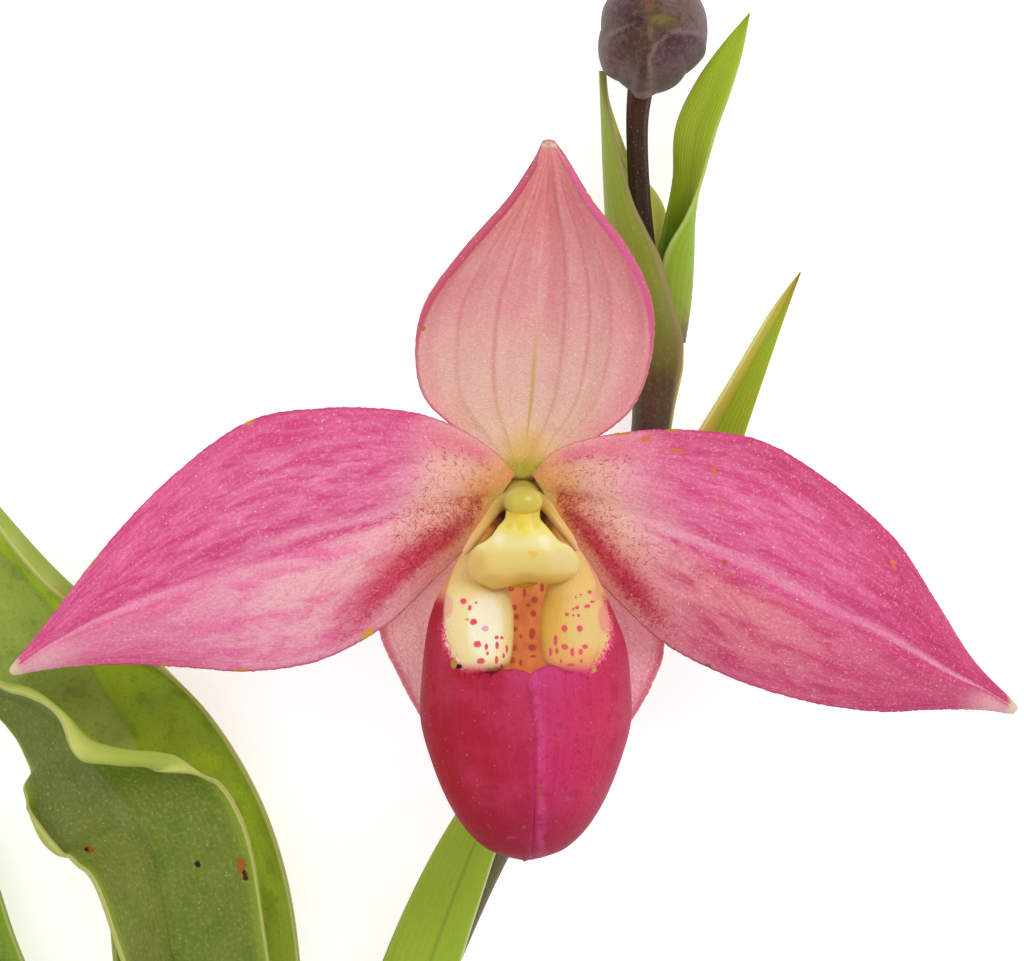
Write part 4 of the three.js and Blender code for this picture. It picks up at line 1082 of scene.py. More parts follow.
# Painted glow: the synsepal's colour also feeds its emission, lighting it where it lies shaded under the
# petals and the pouch.
synsepal_paint, tree, shader = new_material(
    "synsepal_pink", 0.4, Specular_IOR_Level=0.3, Emission_Strength=0.22
)
across, lengthwise, upper = pattern_of(tree)
place = object_place(tree)
out = sum_of("ABSOLUTE", across)
grain = place_effect(cell_grain, Vector=place, Scale=7.0 * PER_MM, Share=0.16)
speckle = noise(place, 3.6 * PER_MM, 3, 0.7)
weak = place_effect(parallel_veins, Across=across, Lengthwise=lengthwise, Count=6.0, Width=0.1)["Veins"]
tint = blended(edge(-0.3, 0.3, across), "e8a4b0", "e8b0ae")
tint = layered(
    tint,
    ("dc8496", edge(0.5, 0.7, speckle), 0.5),
    ("f2d4cc", edge(0.5, 0.3, speckle), 0.5),
    ("e2b09c", edge(0.35, 0.15, lengthwise), 0.6),
    ("cc7886", weak, 0.3),
    ("c85a70", edge(0.92, 0.985, out), 0.8),
    # Painted glints on the grain's cells.
    ("fff6f2", grain["Sparkle"], 0.6),
)
tint = blended(upper, "c87a80", tint)
wire(shader, tint, "Base Color", "Emission Color")
bump(shader, grain["Height"], 0.07)

synsepal = petal_grid(
    SYNSEPAL_ROWS, SYNSEPAL_GROOVE, SYNSEPAL_STEPS, SYNSEPAL_COLUMNS, SEPAL_RAGGED, seed=6
)
points, faces, pattern = closed_blade(synsepal, PETAL_THICK)
synsepal_piece = make_piece("synsepal_blade", points, [faces], [synsepal_paint], pattern)
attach(synsepal_piece, "root")
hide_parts("synsepal")

# ---------------------------------------------------------------- petals
# Two broad petals spread to the sides and droop to their tips. They are fleshy at the foot, where dark
# hairs stand round the column and in a band along the lower margin, and grooved along the midrib.

PETALS = {
    "petal_left": [
        [-2.2, -1.9, -1.7, 0.2, -0.62, 2.1, -0.7, -1.0, -1.3],
        [-4.2, -3.6, -3.8, 0.1, -2.6, 4.2, -0.6, -0.9, -0.7],
        [-7.3, -6.6, -7.2, -0.5, -5.9, 6.1, 0.2, -1.1, -0.5],
        [-10.9, -10.0, -11.4, -1.4, -9.9, 7.15, 0.4, -1.8, -0.7],
        [-16.2, -12.8, -16.9, -3.0, -16.0, 7.3, 0.2, -2.7, -1.1],
        [-21.8, -13.7, -22.2, -4.6, -22.0, 6.2, -0.8, -3.8, -2.0],
        [-27.2, -13.4, -27.8, -6.7, -28.2, 1.7, -2.4, -5.0, -3.6],
        [-32.4, -13.2, -33.0, -8.9, -33.5, -3.8, -4.3, -6.2, -5.3],
        [-37.6, -13.55, -38.0, -11.6, -38.2, -9.8, -6.6, -7.5, -7.0],
        [-41.1, -14.2, -41.3, -13.9, -41.3, -13.5, -8.4, -8.4, -8.4],
    ],
    "petal_right": [
        [0.85, 2.1, 1.75, 0.5, 2.3, -1.9, -0.7, -1.3, -1.0],
        [3.0, 4.1, 3.4, 0.4, 3.75, -3.95, -0.6, -0.7, -0.9],
        [7.0, 5.2, 7.2, -0.6, 7.1, -7.45, 0.2, -0.5, -1.2],
        [12.2, 5.6, 12.6, -2.6, 11.5, -11.5, 0.4, -0.8, -1.8],
        [18.8, 4.8, 18.6, -5.4, 17.3, -14.4, -0.2, -1.4, -2.8],
        [24.4, 1.6, 24.6, -8.7, 23.2, -16.2, -1.7, -3.0, -4.2],
        [29.8, -3.0, 30.2, -11.6, 28.7, -17.0, -3.8, -5.0, -5.8],
        [33.3, -8.1, 34.3, -14.0, 33.2, -16.9, -6.2, -7.2, -7.4],
        [36.6, -13.1, 37.4, -15.5, 37.0, -17.0, -8.6, -9.2, -8.9],
        [40.1, -16.6, 40.1, -17.0, 39.7, -17.4, -9.9, -9.9, -9.9],
    ],
}
UPPER_SIDE = {"petal_left": 1, "petal_right": -1}  # sign of the across pattern at the upper margin
PETAL_STEPS = 240
PETAL_COLUMNS = 56
PETAL_SPAN = 43  # length of a petal, and half its width, for textures that follow it
PETAL_HALF = 10
HAIR_RINGS = 6
HAIR_SIDES = 3
# Colours of each petal, and the course of its dark band as (lengthwise, distance below the midrib).
PETAL_LOOKS = {
    "petal_left": {
        "upper_pinks": ("cc467e", "e078a0"),
        "lower_pinks": ("e8a4b4", "e4709c"),
        "outer_pinks": ("d03c76", "e46a9c"),
        "wash": "e8b4b2",
        "band": [(0.0, 0.40), (0.10, 0.50), (0.20, 0.57), (0.28, 0.60), (0.42, 0.82)],
        "band_end": 0.45,
        "rib": -0.05,
        "ridge": -0.09,
        "rust": [
            (0.99, 0.55, 0.02, 0.010, "c98a3c"),
            (0.99, 0.80, 0.03, 0.012, "c08a40"),
            (-0.97, 0.365, 0.04, 0.012, "dba63c"),
            (-0.985, 0.57, 0.02, 0.012, "c98a3c"),
            (-0.985, 0.70, 0.03, 0.006, "c98a3c"),
            (-0.985, 0.83, 0.03, 0.010, "b98a4c"),
        ],
    },
    "petal_right": {
        "upper_pinks": ("ca4678", "dc709a"),
        "lower_pinks": ("d26a88", "c03e66"),
        "outer_pinks": ("b02052", "cc3f74"),
        "wash": "de8a8c",
        "band": [(0.0, 0.34), (0.10, 0.42), (0.17, 0.52), (0.24, 0.74), (0.36, 0.88)],
        "band_end": 0.38,
        "rib": -0.10,
        "ridge": 0.02,
        "rust": [
            (0.985, 0.245, 0.02, 0.02, "c08030"),
            (0.90, 0.285, 0.035, 0.012, "cc6a3c"),
            (0.79, 0.333, 0.02, 0.014, "cc6a3c"),
            (0.66, 0.385, 0.05, 0.004, "cc6a4c"),
            (0.42, 0.392, 0.10, 0.002, "d0606a"),
            (-0.09, 0.400, 0.03, 0.004, "a85a3c"),
            (0.98, 0.33, 0.02, 0.012, "b08030"),
            (-0.985, 0.40, 0.02, 0.006, "8a5a2c"),
            (0.72, 0.66, 0.05, 0.006, "d8664c"),
        ],
    },
}


def petal_material(name, upper_pinks, lower_pinks, outer_pinks, wash, band, band_end, rib, ridge, rust):
    """Pink petal: mottled like a watercolour along its length, paler below the midrib, deeper towards the
    tip round a light midrib, washed out to cream and ochre at the foot, with a crimson band."""
    # Painted glow: the petal's colour also feeds a weak emission that lifts its shaded parts.
    material, tree, shader = new_material(name, 0.5, Specular_IOR_Level=0.15, Emission_Strength=0.10)
    across, lengthwise, face = pattern_of(tree)
    place = object_place(tree)
    out = sum_of("ABSOLUTE", across)
    over, onward = (times(across, PETAL_HALF), times(lengthwise, PETAL_SPAN))
    grain = place_effect(cell_grain, Vector=place, Scale=7.5 * PER_MM, Share=0.005)
    cloud = noise(place, 0.3 * PER_MM, 3)
    drift = noise(vector_of(times(over, 1.1), times(onward, 0.3)), 1.0, 5, 0.65, 0.6)
    patch = noise(vector_of(times(over, 0.5), times(onward, 0.22), 4.0), 1.0, 4, 0.6, 0.8)
    flow = noise(vector_of(times(over, 5.0), times(onward, 1.6)), 1.0, 3, 0.7)
    speckle = noise(place, 4.2 * PER_MM, 2, 0.6)
    tint = blended(edge(0.34, 0.66, drift), *upper_pinks)
    crest = times(edge(0.55, 0.9, across), edge(0.2, 0.45, lengthwise))
    tint = layered(tint, (outer_pinks[0], crest, 0.45))
    # The lower half, with a pale wash along its middle.
    low = blended(edge(0.34, 0.66, patch), *lower_pinks)
    hollow = times(near(-0.42, 0.55, across), near(0.38, 0.26, lengthwise))
    low = layered(low, (wash, hollow, edge(0.66, 0.4, patch), 0.8))
    tint = layered(tint, (low, edge(rib + 0.06, rib - 0.12, across)))
    # The outer part is deeper pink on both sides of a light midrib, with a painted shade along the midrib's
    # upper side.
    outer = blended(edge(0.34, 0.66, drift), *outer_pinks)
    outer = layered(outer, (lower_pinks[0], near(-0.45, 0.5, across), 0.4))
    tint = layered(
        tint,
        (outer, edge(0.5, 0.74, lengthwise), 0.9),
        ("eda0bc", near(ridge, 0.1, across), edge(0.5, 0.72, lengthwise), 0.65),
        # Painted shade along the upper side of the light midrib.
        ("c43f7a", near(ridge + 0.15, 0.1, across), edge(0.46, 0.58, lengthwise), 0.35),
        ("ecb4ba", edge(0.8, 0.93, lengthwise), edge(0.05, -0.4, across), 0.8),
    )
    # The inner part: cream, then ochre at the foot, with a flush of rose along the upper margin.
    wash_place = sum_of("MULTIPLY_ADD", cloud, 0.1, sum_of("SUBTRACT", lengthwise, 0.05))
    wash_place = sum_of("MULTIPLY_ADD", across, 0.05, wash_place)
    inner = graded(
        wash_place,
        [(0.02, "c8a840"), (0.065, "dc9c4a"), (0.12, "e4aa6c"), (0.2, "e8b8a0"), (0.32, "ecb6b8")],
    )
    flush = times(near(0.8, 0.3, across), edge(0.06, 0.14, lengthwise), edge(0.36, 0.22, lengthwise))
    tint = layered(tint, (inner, edge(0.38, 0.22, wash_place), 0.92), ("da6c82", flush, 0.8))
    # The midrib of the inner part is a dark line beside a light one.
    rib_reach = times(edge(0.24, 0.33, lengthwise), edge(0.6, 0.46, lengthwise))
    tint = layered(
        tint,
        ("ecaabc", near(rib + 0.1, 0.09, across), rib_reach, 0.45),
        ("c63c74", near(rib, 0.06, across), rib_reach, edge(0.35, 0.6, flow), 0.8),
    )
    # Crimson band along the lower margin, with a pale strip outside it.
    band_gap = sum_of("ADD", across, course(lengthwise, band))
    strip = times(edge(-0.1, -0.2, band_gap), edge(0.36, 0.22, lengthwise))
    strip_tint = blended(edge(0.12, 0.26, lengthwise), "e0a87c", "e08890")
    band_reach = times(edge(0.08, 0.2, lengthwise), edge(band_end, band_end - 0.14, lengthwise))
    band_tint = blended(edge(0.14, 0.3, lengthwise), "c2483a", "c63056")
    ragged = swing(flow, 0.12)
    stripe = times(near(0.05, 0.31, sum_of("ADD", band_gap, ragged)), band_reach)
    tint = layered(
        tint,
        (strip_tint, strip, 0.85),
        (band_tint, sum_of("MULTIPLY", stripe, 1.25, clamp=True)),
        ("d86e74", near(0.2, 0.4, band_gap), band_reach, 0.45),
    )
    # Fine mottling, margins, tip and blemishes.
    tint = layered(
        tint,
        ("c43a70", edge(0.5, 0.72, flow), 0.32),
        ("f0b2c4", edge(0.48, 0.28, flow), 0.24),
        ("c4366c", edge(0.54, 0.7, speckle), 0.3),
        ("f6c4d2", edge(0.44, 0.28, speckle), 0.28),
        ("bf3f74", edge(0.965, 0.995, out), 0.6),
        ("e8cab0", edge(0.962, 0.985, lengthwise)),
    )
    rough = swing(speckle, 2.4)
    tint = blotted(tint, across, lengthwise, rust, rough)
    # Painted glints on the grain's cells, then the underside's own colour.
    tint = blended(face, "d27f9e", layered(tint, ("fff4f8", grain["Sparkle"], 0.8)))
    # The colour feeds both the base and the painted glow.
    wire(shader, tint, "Base Color", "Emission Color")
    bump(shader, sum_of("MULTIPLY_ADD", flow, 1.6, grain["Height"]), 0.05)
    return material


# Painted glow: the hairs' colour also feeds their emission, so they do not render dark in their own shade.
hair_paint, tree, shader = new_material("petal_hair_red", 0.5, Specular_IOR_Level=0.2, Emission_Strength=0.3)
redness, lengthwise = pattern_of(tree)[:2]
tint = layered(blended(redness, "a8622a", "b4243c"), ("c03c60", lengthwise, 0.3))
wire(shader, tint, "Base Color", "Emission Color")


def on_grid(grid, across, lengthwise):
    """Points of a grid at across from -1 to 1 and lengthwise from 0 to 1, between its corners."""
    rows, cols = grid.shape[:2]
    i = np.clip(lengthwise, 0, 1) * (rows - 1.001)
    j = np.clip((across + 1) / 2, 0, 1) * (cols - 1.001)
    a, b = i.astype(int), j.astype(int)
    f, g = (i - a)[:, None], (j - b)[:, None]
    near_row = grid[a, b] * (1 - g) + grid[a, b + 1] * g
    far_row = grid[a + 1, b] * (1 - g) + grid[a + 1, b + 1] * g
    return near_row * (1 - f) + far_row * f


def hair_tufts(roots, directions, lengths, radius, curl, tints, seed):
    """Tapered hairs: each leaves its root along its direction and bends aside by curl times its length
    times the square of the place along it, narrowing to a point."""
    draw = np.random.default_rng(seed)
    count = len(roots)
    s = np.linspace(0, 1, HAIR_RINGS)[None, :, None]
    aside = unit(np.cross(directions, draw.normal(size=(count, 3))))
    reach = lengths[:, None, None]
    line = roots[:, None] + directions[:, None] * s * reach + aside[:, None] * curl * s**2 * reach
    across_axis = unit(np.cross(directions, aside))
    turn = round_turns(HAIR_SIDES)
    ring = (
        aside[:, None, :] * np.cos(turn)[None, :, None]
        + across_axis[:, None, :] * np.sin(turn)[None, :, None]
    )
    girth = radius * (1 - 0.85 * s[..., None] ** 1.5)
    points = line[:, :, None, :] + ring[:, None] * girth
    index = np.arange(count * HAIR_RINGS * HAIR_SIDES).reshape(count, HAIR_RINGS, HAIR_SIDES)
    turned = np.roll(index, -1, axis=2)
    walls = np.stack((turned[:, :-1], index[:, :-1], index[:, 1:], turned[:, 1:]), -1)
    feet, tips = index[:, 0], index[:, -1, ::-1]
    place_on = np.broadcast_to(s[..., None], (count, HAIR_RINGS, HAIR_SIDES, 1))
    tint = np.broadcast_to(tints[:, None, None, None], place_on.shape)
    pattern = np.concatenate((tint, place_on, np.ones_like(place_on)), -1)
    return points.reshape(-1, 3), [walls.reshape(-1, 4), feet, tips], pattern.reshape(-1, 3)


PETAL_GROOVE = 0.45
PETAL_RAGGED = 0.03
BAND_HAIRS, FIELD_HAIRS, STRAY_HAIRS = 640, 520, 130  # in the band, between it and the midrib, above
HAIR_GIRTH = 0.024
HAIR_CURL = 0.45
HAIR_ROOT = (0, 0, 0.25)  # from the middle of the petal to just inside its upper face
UPWARD = np.array([0.0, 1.0, 0.0])
OUTWARD = np.array([0.0, 0.0, 1.0])

for seed, (node, rows) in enumerate(PETALS.items(), 11):
    looks = PETAL_LOOKS[node]
    petal_paint = petal_material(node + "_pink", **looks)
    blade = petal_grid(rows, PETAL_GROOVE, PETAL_STEPS, PETAL_COLUMNS, PETAL_RAGGED, seed)
    points, faces, pattern = closed_blade(blade, PETAL_THICK)
    pattern[:, 0] *= UPPER_SIDE[node]
    petal_piece = make_piece(node + "_blade", points, [faces], [petal_paint], pattern)
    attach(petal_piece, "root")
    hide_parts(node)

    # Hairs crowd towards the petal's foot. Those of the band stand more upright than the others.
    draw = np.random.default_rng(seed)
    place_along = np.concatenate(
        (
            0.09 + draw.beta(1.3, 1.4, BAND_HAIRS) * (looks["band_end"] - 0.12),
            0.07 + draw.beta(1.2, 1.7, FIELD_HAIRS) * 0.26,
            0.07 + draw.beta(1.5, 1.4, STRAY_HAIRS) * 0.20,
        )
    )
    band_places, band_depths = np.array(looks["band"]).T
    band_middle = -np.interp(place_along, band_places, band_depths)
    place_across = np.concatenate(
        (
            band_middle[:BAND_HAIRS] + draw.normal(0.01, 0.10, BAND_HAIRS),
            band_middle[BAND_HAIRS:-STRAY_HAIRS] + draw.uniform(0.10, 0.62, FIELD_HAIRS),
            draw.uniform(0.0, 0.72, STRAY_HAIRS),
        )
    )
    roots = on_grid(blade, place_across * UPPER_SIDE[node], place_along)
    ahead = on_grid(blade, place_across * UPPER_SIDE[node], place_along + 0.01)
    forward = unit(ahead - roots)
    in_band = (np.arange(len(roots)) < BAND_HAIRS)[:, None]
    spread = draw.normal(0, 1, (len(roots), 3)) * (1, 1, 0.3)
    spread *= np.where(in_band, 0.22, 0.5)
    stand = draw.uniform(0.3, 0.9, len(roots))[:, None]
    lift = np.where(in_band, 0.9, 0.6)
    directions = unit(forward * 0.7 + UPWARD * lift + spread + OUTWARD * stand)
    lengths = draw.uniform(0.45, 0.9, len(roots)) * np.where(place_along < 0.3, 1.0, 0.75)
    tints = np.clip((place_along - 0.05) / 0.10 + draw.normal(0, 0.18, len(roots)), 0, 1)
    roots = roots + HAIR_ROOT
    points, blocks, pattern = hair_tufts(roots, directions, lengths, HAIR_GIRTH, HAIR_CURL, tints, seed)
    hair_piece = make_piece(node + "_hairs", points, blocks, [hair_paint], pattern)
    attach(hair_piece, "root")

# ---------------------------------------------------------------- pouch
# The slipper: one velvety petal grown into a bag. Its front rim is scalloped, two broad cream lobes are
# folded in at the sides, and between them the inside of its thin wall is painted to glow.

POUCH_MIDDLE = 0.3
POUCH_LEAN = 0.3  # of its foot to the left
POUCH_THICK = 0.6
# Level sections of the pouch from its closed end up: [y, half width, back z, front z].
POUCH_SECTIONS = [
    [-28.1, 0.5, 3.4, 4.4],
    [-27.8, 1.6, 2.4, 5.8],
    [-27.2, 3.0, 1.2, 7.2],
    [-25.8, 4.5, -0.1, 8.8],
    [-23.6, 5.9, -1.3, 10.3],
    [-20.7, 7.1, -2.0, 11.4],
    [-17.4, 8.0, -2.3, 11.8],
    [-14.2, 7.95, -2.3, 11.6],
    [-11.0, 7.55, -2.2, 10.9],
    [-7.9, 6.5, -2.0, 9.6],
    [-4.8, 4.85, -1.7, 7.6],
    [-2.0, 2.65, -1.3, 4.2],
]
# Height of the mouth's edge at even steps from the front round to the back.
MOUTH_EDGE = [[-13.0], [-12.9], [-12.5], [-8.4], [-4.6], [-3.3], [-3.2], [-3.2], [-3.2], [-3.2]]
# Height of the scalloped rim against that edge, at degrees left (-) and right (+) of the front.
SCALLOPS = [
    [-46, 0.0], [-42, 0.2], [-39, -0.2], [-36.5, -0.75], [-33, -1.25], [-30.5, -1.0], [-28, -1.4],
    [-25.5, -1.1], [-23, -1.4], [-20.5, -1.6], [-17, -1.15], [-12, -0.9], [-7, -0.82], [-2, -1.0],
    [1.2, -1.3], [2.8, -1.75], [5, -1.3], [8, -0.9], [12, -0.68], [16, -0.55], [19, -0.75],
    [21.5, -1.35], [25, -1.05], [29, -0.85], [33, -0.85], [35.5, -1.15], [37.5, -0.5], [40, -0.1],
    [42, 0.0], [44, -0.1], [47, 0.0],
]
SCALLOP_MIDDLE = -1.0
PLEAT_HEIGHT = 0.30  # of the wall's pleats below the rim, for each millimetre of scallop
PLEAT_FADE = 2.2
KEEL_HEIGHT, KEEL_PLACE, KEEL_HALF = 0.22, 2.5, 5  # place and half width in degrees from the front
SEAM_DEPTH, SEAM_PLACE, SEAM_HALF = 0.16, 5.5, 2.2
RIM = {"deep": 0.55, "tall": 0.5, "span": 195}
LOBE = {"tall": 1.75, "lean": 0.35, "sink": 0.12}
SLOT_MIDDLE = 0.4
# Half the width that the lobes leave between them, at degrees from the front.
SLOT = [[40, 1.65], [50, 1.4], [58, 1.4], [68, 1.9], [80, 2.3]]
BACK = {"tall": 0.7, "span": -135}
POUCH_TURNS = 270
POUCH_WALL_ROWS = 108
POUCH_ROLL_ROWS = 40


def pouch_grid():
    """Middle surface of the pouch in rings from its closed end to the mouth and over the rolled edge.

    A ring's point at turn u is (middle - half sin u, y, (back + front)/2 - (front - back)/2 cos u),
    with u at 180 degrees in front. Each column runs up to its own height of the mouth's edge, and from
    there the roll goes on by tall sin v forward and deep (1 - cos v) inward, v from 0 to its span. In
    front it rolls over the wall's own edge. At the sides it is a lobe that rises up and lies down
    towards the middle, as deep as leaves the slot its width. Pleats below the scallops, a keel and a
    seam beside it are added along the wall's normals.
    """
    turn = round_turns(POUCH_TURNS)
    from_front = np.degrees(turn) - 180
    q = np.abs(from_front)
    scallop = np.interp(from_front, *np.array(SCALLOPS).T)
    mouth = along(MOUTH_EDGE, q / 180)[:, 0] + scallop
    fine_places = np.linspace(0, 1, 4001)
    edge_place = np.interp(mouth, along(POUCH_SECTIONS, fine_places)[:, 0], fine_places)
    rows = np.linspace(0, 1, POUCH_WALL_ROWS + 1)[:, None]
    y, half, back, front = np.moveaxis(along(POUCH_SECTIONS, rows * edge_place), -1, 0)
    x = POUCH_MIDDLE - half * np.sin(turn) - POUCH_LEAN * smooth(-12.5, -8, y)
    z = (back + front) / 2 - (front - back) / 2 * np.cos(turn)
    wall = np.stack((x, y, z), -1)
    rim = wall[-1]
    across = unit(np.roll(rim, -1, axis=0) - np.roll(rim, 1, axis=0))
    outward = unit(np.cross(across, rim - wall[-2]))
    onward = np.cross(outward, across)
    lobe = (smooth(33, 41, q) * (1 - smooth(74, 100, q)))[:, None]
    slot = np.interp(q, *np.array(SLOT).T)
    lobe_deep = (np.abs(rim[:, 0] - SLOT_MIDDLE) - slot) / 2
    deep = RIM["deep"] + (np.maximum(lobe_deep, RIM["deep"])[:, None] - RIM["deep"]) * lobe
    tall = RIM["tall"] + (LOBE["tall"] - RIM["tall"]) * lobe + (BACK["tall"] * smooth(90, 110, q))[:, None]
    span = np.radians(RIM["span"] + BACK["span"] * smooth(76, 112, q))[:, None]
    v = np.linspace(0, 1, POUCH_ROLL_ROWS + 1)[1:, None, None] * span
    to_middle = np.sign(SLOT_MIDDLE - rim[:, 0])
    level = np.zeros_like(to_middle)
    rising = unit(np.stack((LOBE["lean"] * to_middle, level, level + 1), -1))
    lying = unit(np.stack((to_middle, level, level - LOBE["sink"]), -1))
    forward = unit(onward * (1 - lobe) + rising * lobe)
    inward = unit(-outward * (1 - lobe) + lying * lobe)
    roll = rim + forward * tall * np.sin(v) + inward * deep * (1 - np.cos(v))
    below = (rim[:, 1] - y)[..., None]
    pleats = PLEAT_HEIGHT * (scallop[:, None] - SCALLOP_MIDDLE) * smooth(46, 42, q)[:, None]
    pleats = pleats * np.exp(-below / PLEAT_FADE) * smooth(0, 0.6, below)
    keel = KEEL_HEIGHT * bell(KEEL_PLACE, KEEL_HALF, from_front)[:, None] * smooth(0, 6, below)
    seam = -SEAM_DEPTH * bell(SEAM_PLACE, SEAM_HALF, from_front)[:, None] * smooth(0, 2, below)
    wall = wall + grid_normals(wall, closed=True) * (pleats + keel + seam)
    return np.concatenate((wall, roll)) + FLOWER_CENTRE


def bag_of(grid, thickness):
    """Closed bag of even thickness round rings that start beside its closed end: points, the blocks of
    faces outside, inside, at the lip, and at the closed end outside and inside."""
    rows, turns = grid.shape[:2]
    normals = grid_normals(grid, closed=True)
    outer, inner = grid + normals * thickness / 2, grid - normals * thickness / 2
    index = np.arange(rows * turns).reshape(rows, turns)
    turned = np.roll(index, -1, axis=1)
    under = rows * turns
    outside = np.stack((index[:-1], turned[:-1], turned[1:], index[1:]), -1).reshape(-1, 4)
    inside = outside[:, ::-1] + under
    lip = np.stack((index[-1], turned[-1], turned[-1] + under, index[-1] + under), -1)
    hub, inner_hub = 2 * under, 2 * under + 1
    end = np.stack((turned[0], index[0], np.full(turns, hub)), -1)
    inner_end = np.stack((index[0] + under, turned[0] + under, np.full(turns, inner_hub)), -1)
    points = np.concatenate(
        (outer.reshape(-1, 3), inner.reshape(-1, 3), outer[:1].mean(1), inner[:1].mean(1))
    )
    return points, [outside, inside, lip, end, inner_end]


def place_from(tree, centre):
    """Place in millimetres from a centre: its x and y."""
    spot = add(tree, "ShaderNodeSeparateXYZ", {0: object_place(tree)})
    return [sum_of("MULTIPLY_ADD", spot.outputs[axis], PER_MM, -centre[axis]) for axis in (0, 1)]


# Marks are [x, y, half width, half height] in millimetres from the flower's centre. The lobes' are red.
LOBE_DOTS = [
    [-4.6, -7.9, 0.22, 0.22], [-4.1, -8.4, 0.14, 0.18], [-3.6, -8.0, 0.09, 0.09],
    [-3.8, -9.5, 0.26, 0.22], [-3.5, -11.2, 0.26, 0.24], [-2.8, -11.4, 0.13, 0.22],
    [-2.7, -11.9, 0.11, 0.14], [-2.0, -10.7, 0.14, 0.14], [-1.6, -10.7, 0.12, 0.12],
    [-1.95, -11.3, 0.13, 0.26], [-1.2, -11.6, 0.10, 0.28], [-1.45, -12.1, 0.10, 0.20],
    [-3.2, -12.5, 0.30, 0.20], [-2.0, -12.4, 0.13, 0.28], [-1.6, -12.9, 0.10, 0.14],
    [5.3, -7.2, 0.15, 0.15], [4.6, -7.4, 0.10, 0.07], [4.2, -7.6, 0.09, 0.07],
    [5.1, -8.3, 0.22, 0.14], [5.5, -7.95, 0.16, 0.10], [4.3, -8.4, 0.16, 0.13],
    [4.0, -8.5, 0.09, 0.10], [3.5, -8.9, 0.15, 0.13], [4.0, -9.0, 0.09, 0.09],
    [4.4, -9.0, 0.12, 0.11], [3.3, -10.0, 0.21, 0.25], [4.5, -10.0, 0.20, 0.23],
    [2.6, -10.9, 0.15, 0.40], [3.3, -11.4, 0.24, 0.20], [3.9, -11.8, 0.14, 0.30],
    [4.9, -11.4, 0.22, 0.16], [4.55, -11.8, 0.15, 0.22], [2.2, -11.8, 0.10, 0.32],
    [2.7, -11.7, 0.12, 0.22], [4.6, -12.5, 0.12, 0.14], [3.8, -12.8, 0.30, 0.10],
    [3.0, -12.5, 0.10, 0.12],
]
SLOT_DOTS = [
    [-0.9, -7.1, 0.36, 0.22], [0.2, -7.4, 0.18, 0.38], [1.0, -8.0, 0.30, 0.28],
    [-0.6, -8.6, 0.24, 0.26], [0.5, -8.4, 0.18, 0.18], [-0.45, -9.3, 0.26, 0.26],
    [0.9, -9.1, 0.28, 0.30], [1.7, -8.7, 0.14, 0.40], [-0.6, -10.3, 0.28, 0.24],
    [0.8, -10.7, 0.30, 0.50], [-0.1, -10.9, 0.14, 0.18], [-0.6, -11.8, 0.24, 0.30],
    [0.8, -11.8, 0.36, 0.30], [0.9, -12.5, 0.30, 0.12], [-0.8, -12.8, 0.30, 0.30],
    [-0.1, -13.0, 0.12, 0.30], [1.6, -7.0, 0.20, 0.40],
]
DOT_BLEED = 1.25  # how much wider the lobes' dots are with their soft edge
# Faint marks of the lobes: a violet one, an orange one, and pink clouds at the outer edges.
LOBE_TINTS = [
    (-2.9, -10.0, 0.30, 0.26, "e4a4bc"),
    (-4.3, -9.3, 0.16, 0.14, "dcaa4c"),
    (6.1, -7.4, 0.7, 0.6, "dca878"),
    (6.5, -9.2, 0.60, 1.3, "e0947e"),
    (-5.9, -8.3, 0.55, 1.0, "e6b094"),
]
WALL_MARKS = [
    (-4.96, -12.95, 0.30, 0.20, "120a08"),
    (-5.35, -12.75, 0.28, 0.40, "b08a3c"),
    (5.62, -13.15, 0.18, 0.32, "b89a50"),
    (1.48, -17.9, 0.14, 0.20, "b85a3c"),
    (1.3, -22.7, 0.12, 0.70, "ac4c34"),
    (1.25, -23.9, 0.10, 0.35, "a84434"),
    (0.15, -25.5, 0.16, 0.14, "b8583c"),
    (-0.9, -26.4, 0.35, 0.14, "a8402c"),
    (4.4, -19.6, 0.16, 0.12, "9c2c48"),
]
# Crimsons round the wall, from its left side over the front to its right side: partly its own colour and
# partly painted light, deeper on the shaded left side and at both flanks, pinker on the lit right.
FLANK_STOPS = [
    (-1.0, "a41a2c"),
    (-0.85, "a61626"),
    (-0.45, "ac1a32"),
    (0.0, "b22446"),
    (0.12, "c43066"),
    (0.75, "c42c56"),
    (1.0, "ae2a4c"),
]
# Painted highlight: the pale line down the front lies along the keel.
KEEL_X = (0.72, 1.28)  # of the pale line down the front, at its top and further down
# Where the lobes' cream lies: (middle, half its reach), each as x and y.
CREAM_BLOTS = [((-3.6, -10.2, 0.0), (2.65, 3.1, 1.0)), ((4.2, -9.9, 0.0), (2.95, 3.6, 1.0))]

outside_paint, tree, shader = new_material("pouch_crimson", 0.55, Specular_IOR_Level=0.12)
side, row, frontness = pattern_of(tree)
place = object_place(tree)
spot_x, spot_y = place_from(tree, FLOWER_CENTRE)
cloud = noise(place, 0.25 * PER_MM, 3)
blotch = noise(place, 1.1 * PER_MM, 4, 0.6)
speckle = noise(place, 4.0 * PER_MM, 2, 0.6)
grain = place_effect(cell_grain, Vector=place, Scale=6.0 * PER_MM, Share=0.02)
stripes = noise(vector_of(times(side, 22.0), times(row, 4.0)), 1.0, 4, 0.6, 0.5)
tint = layered(
    graded(side, FLANK_STOPS),
    ("b81c3c", edge(0.45, 0.65, stripes), 0.35),
    ("b03c62", edge(0.48, 0.3, stripes), 0.35),
    ("ca4468", edge(0.42, 0.65, cloud), 0.3),
    ("961a34", edge(0.5, 0.32, blotch), 0.4),
    # Painted shade: deeper crimson towards the closed end below.
    ("8c1c34", edge(-21.5, -27.5, spot_y), 0.55),
)
front = edge(0.3, 0.6, frontness)
lower_front = edge(-14.0, -18.5, spot_y)
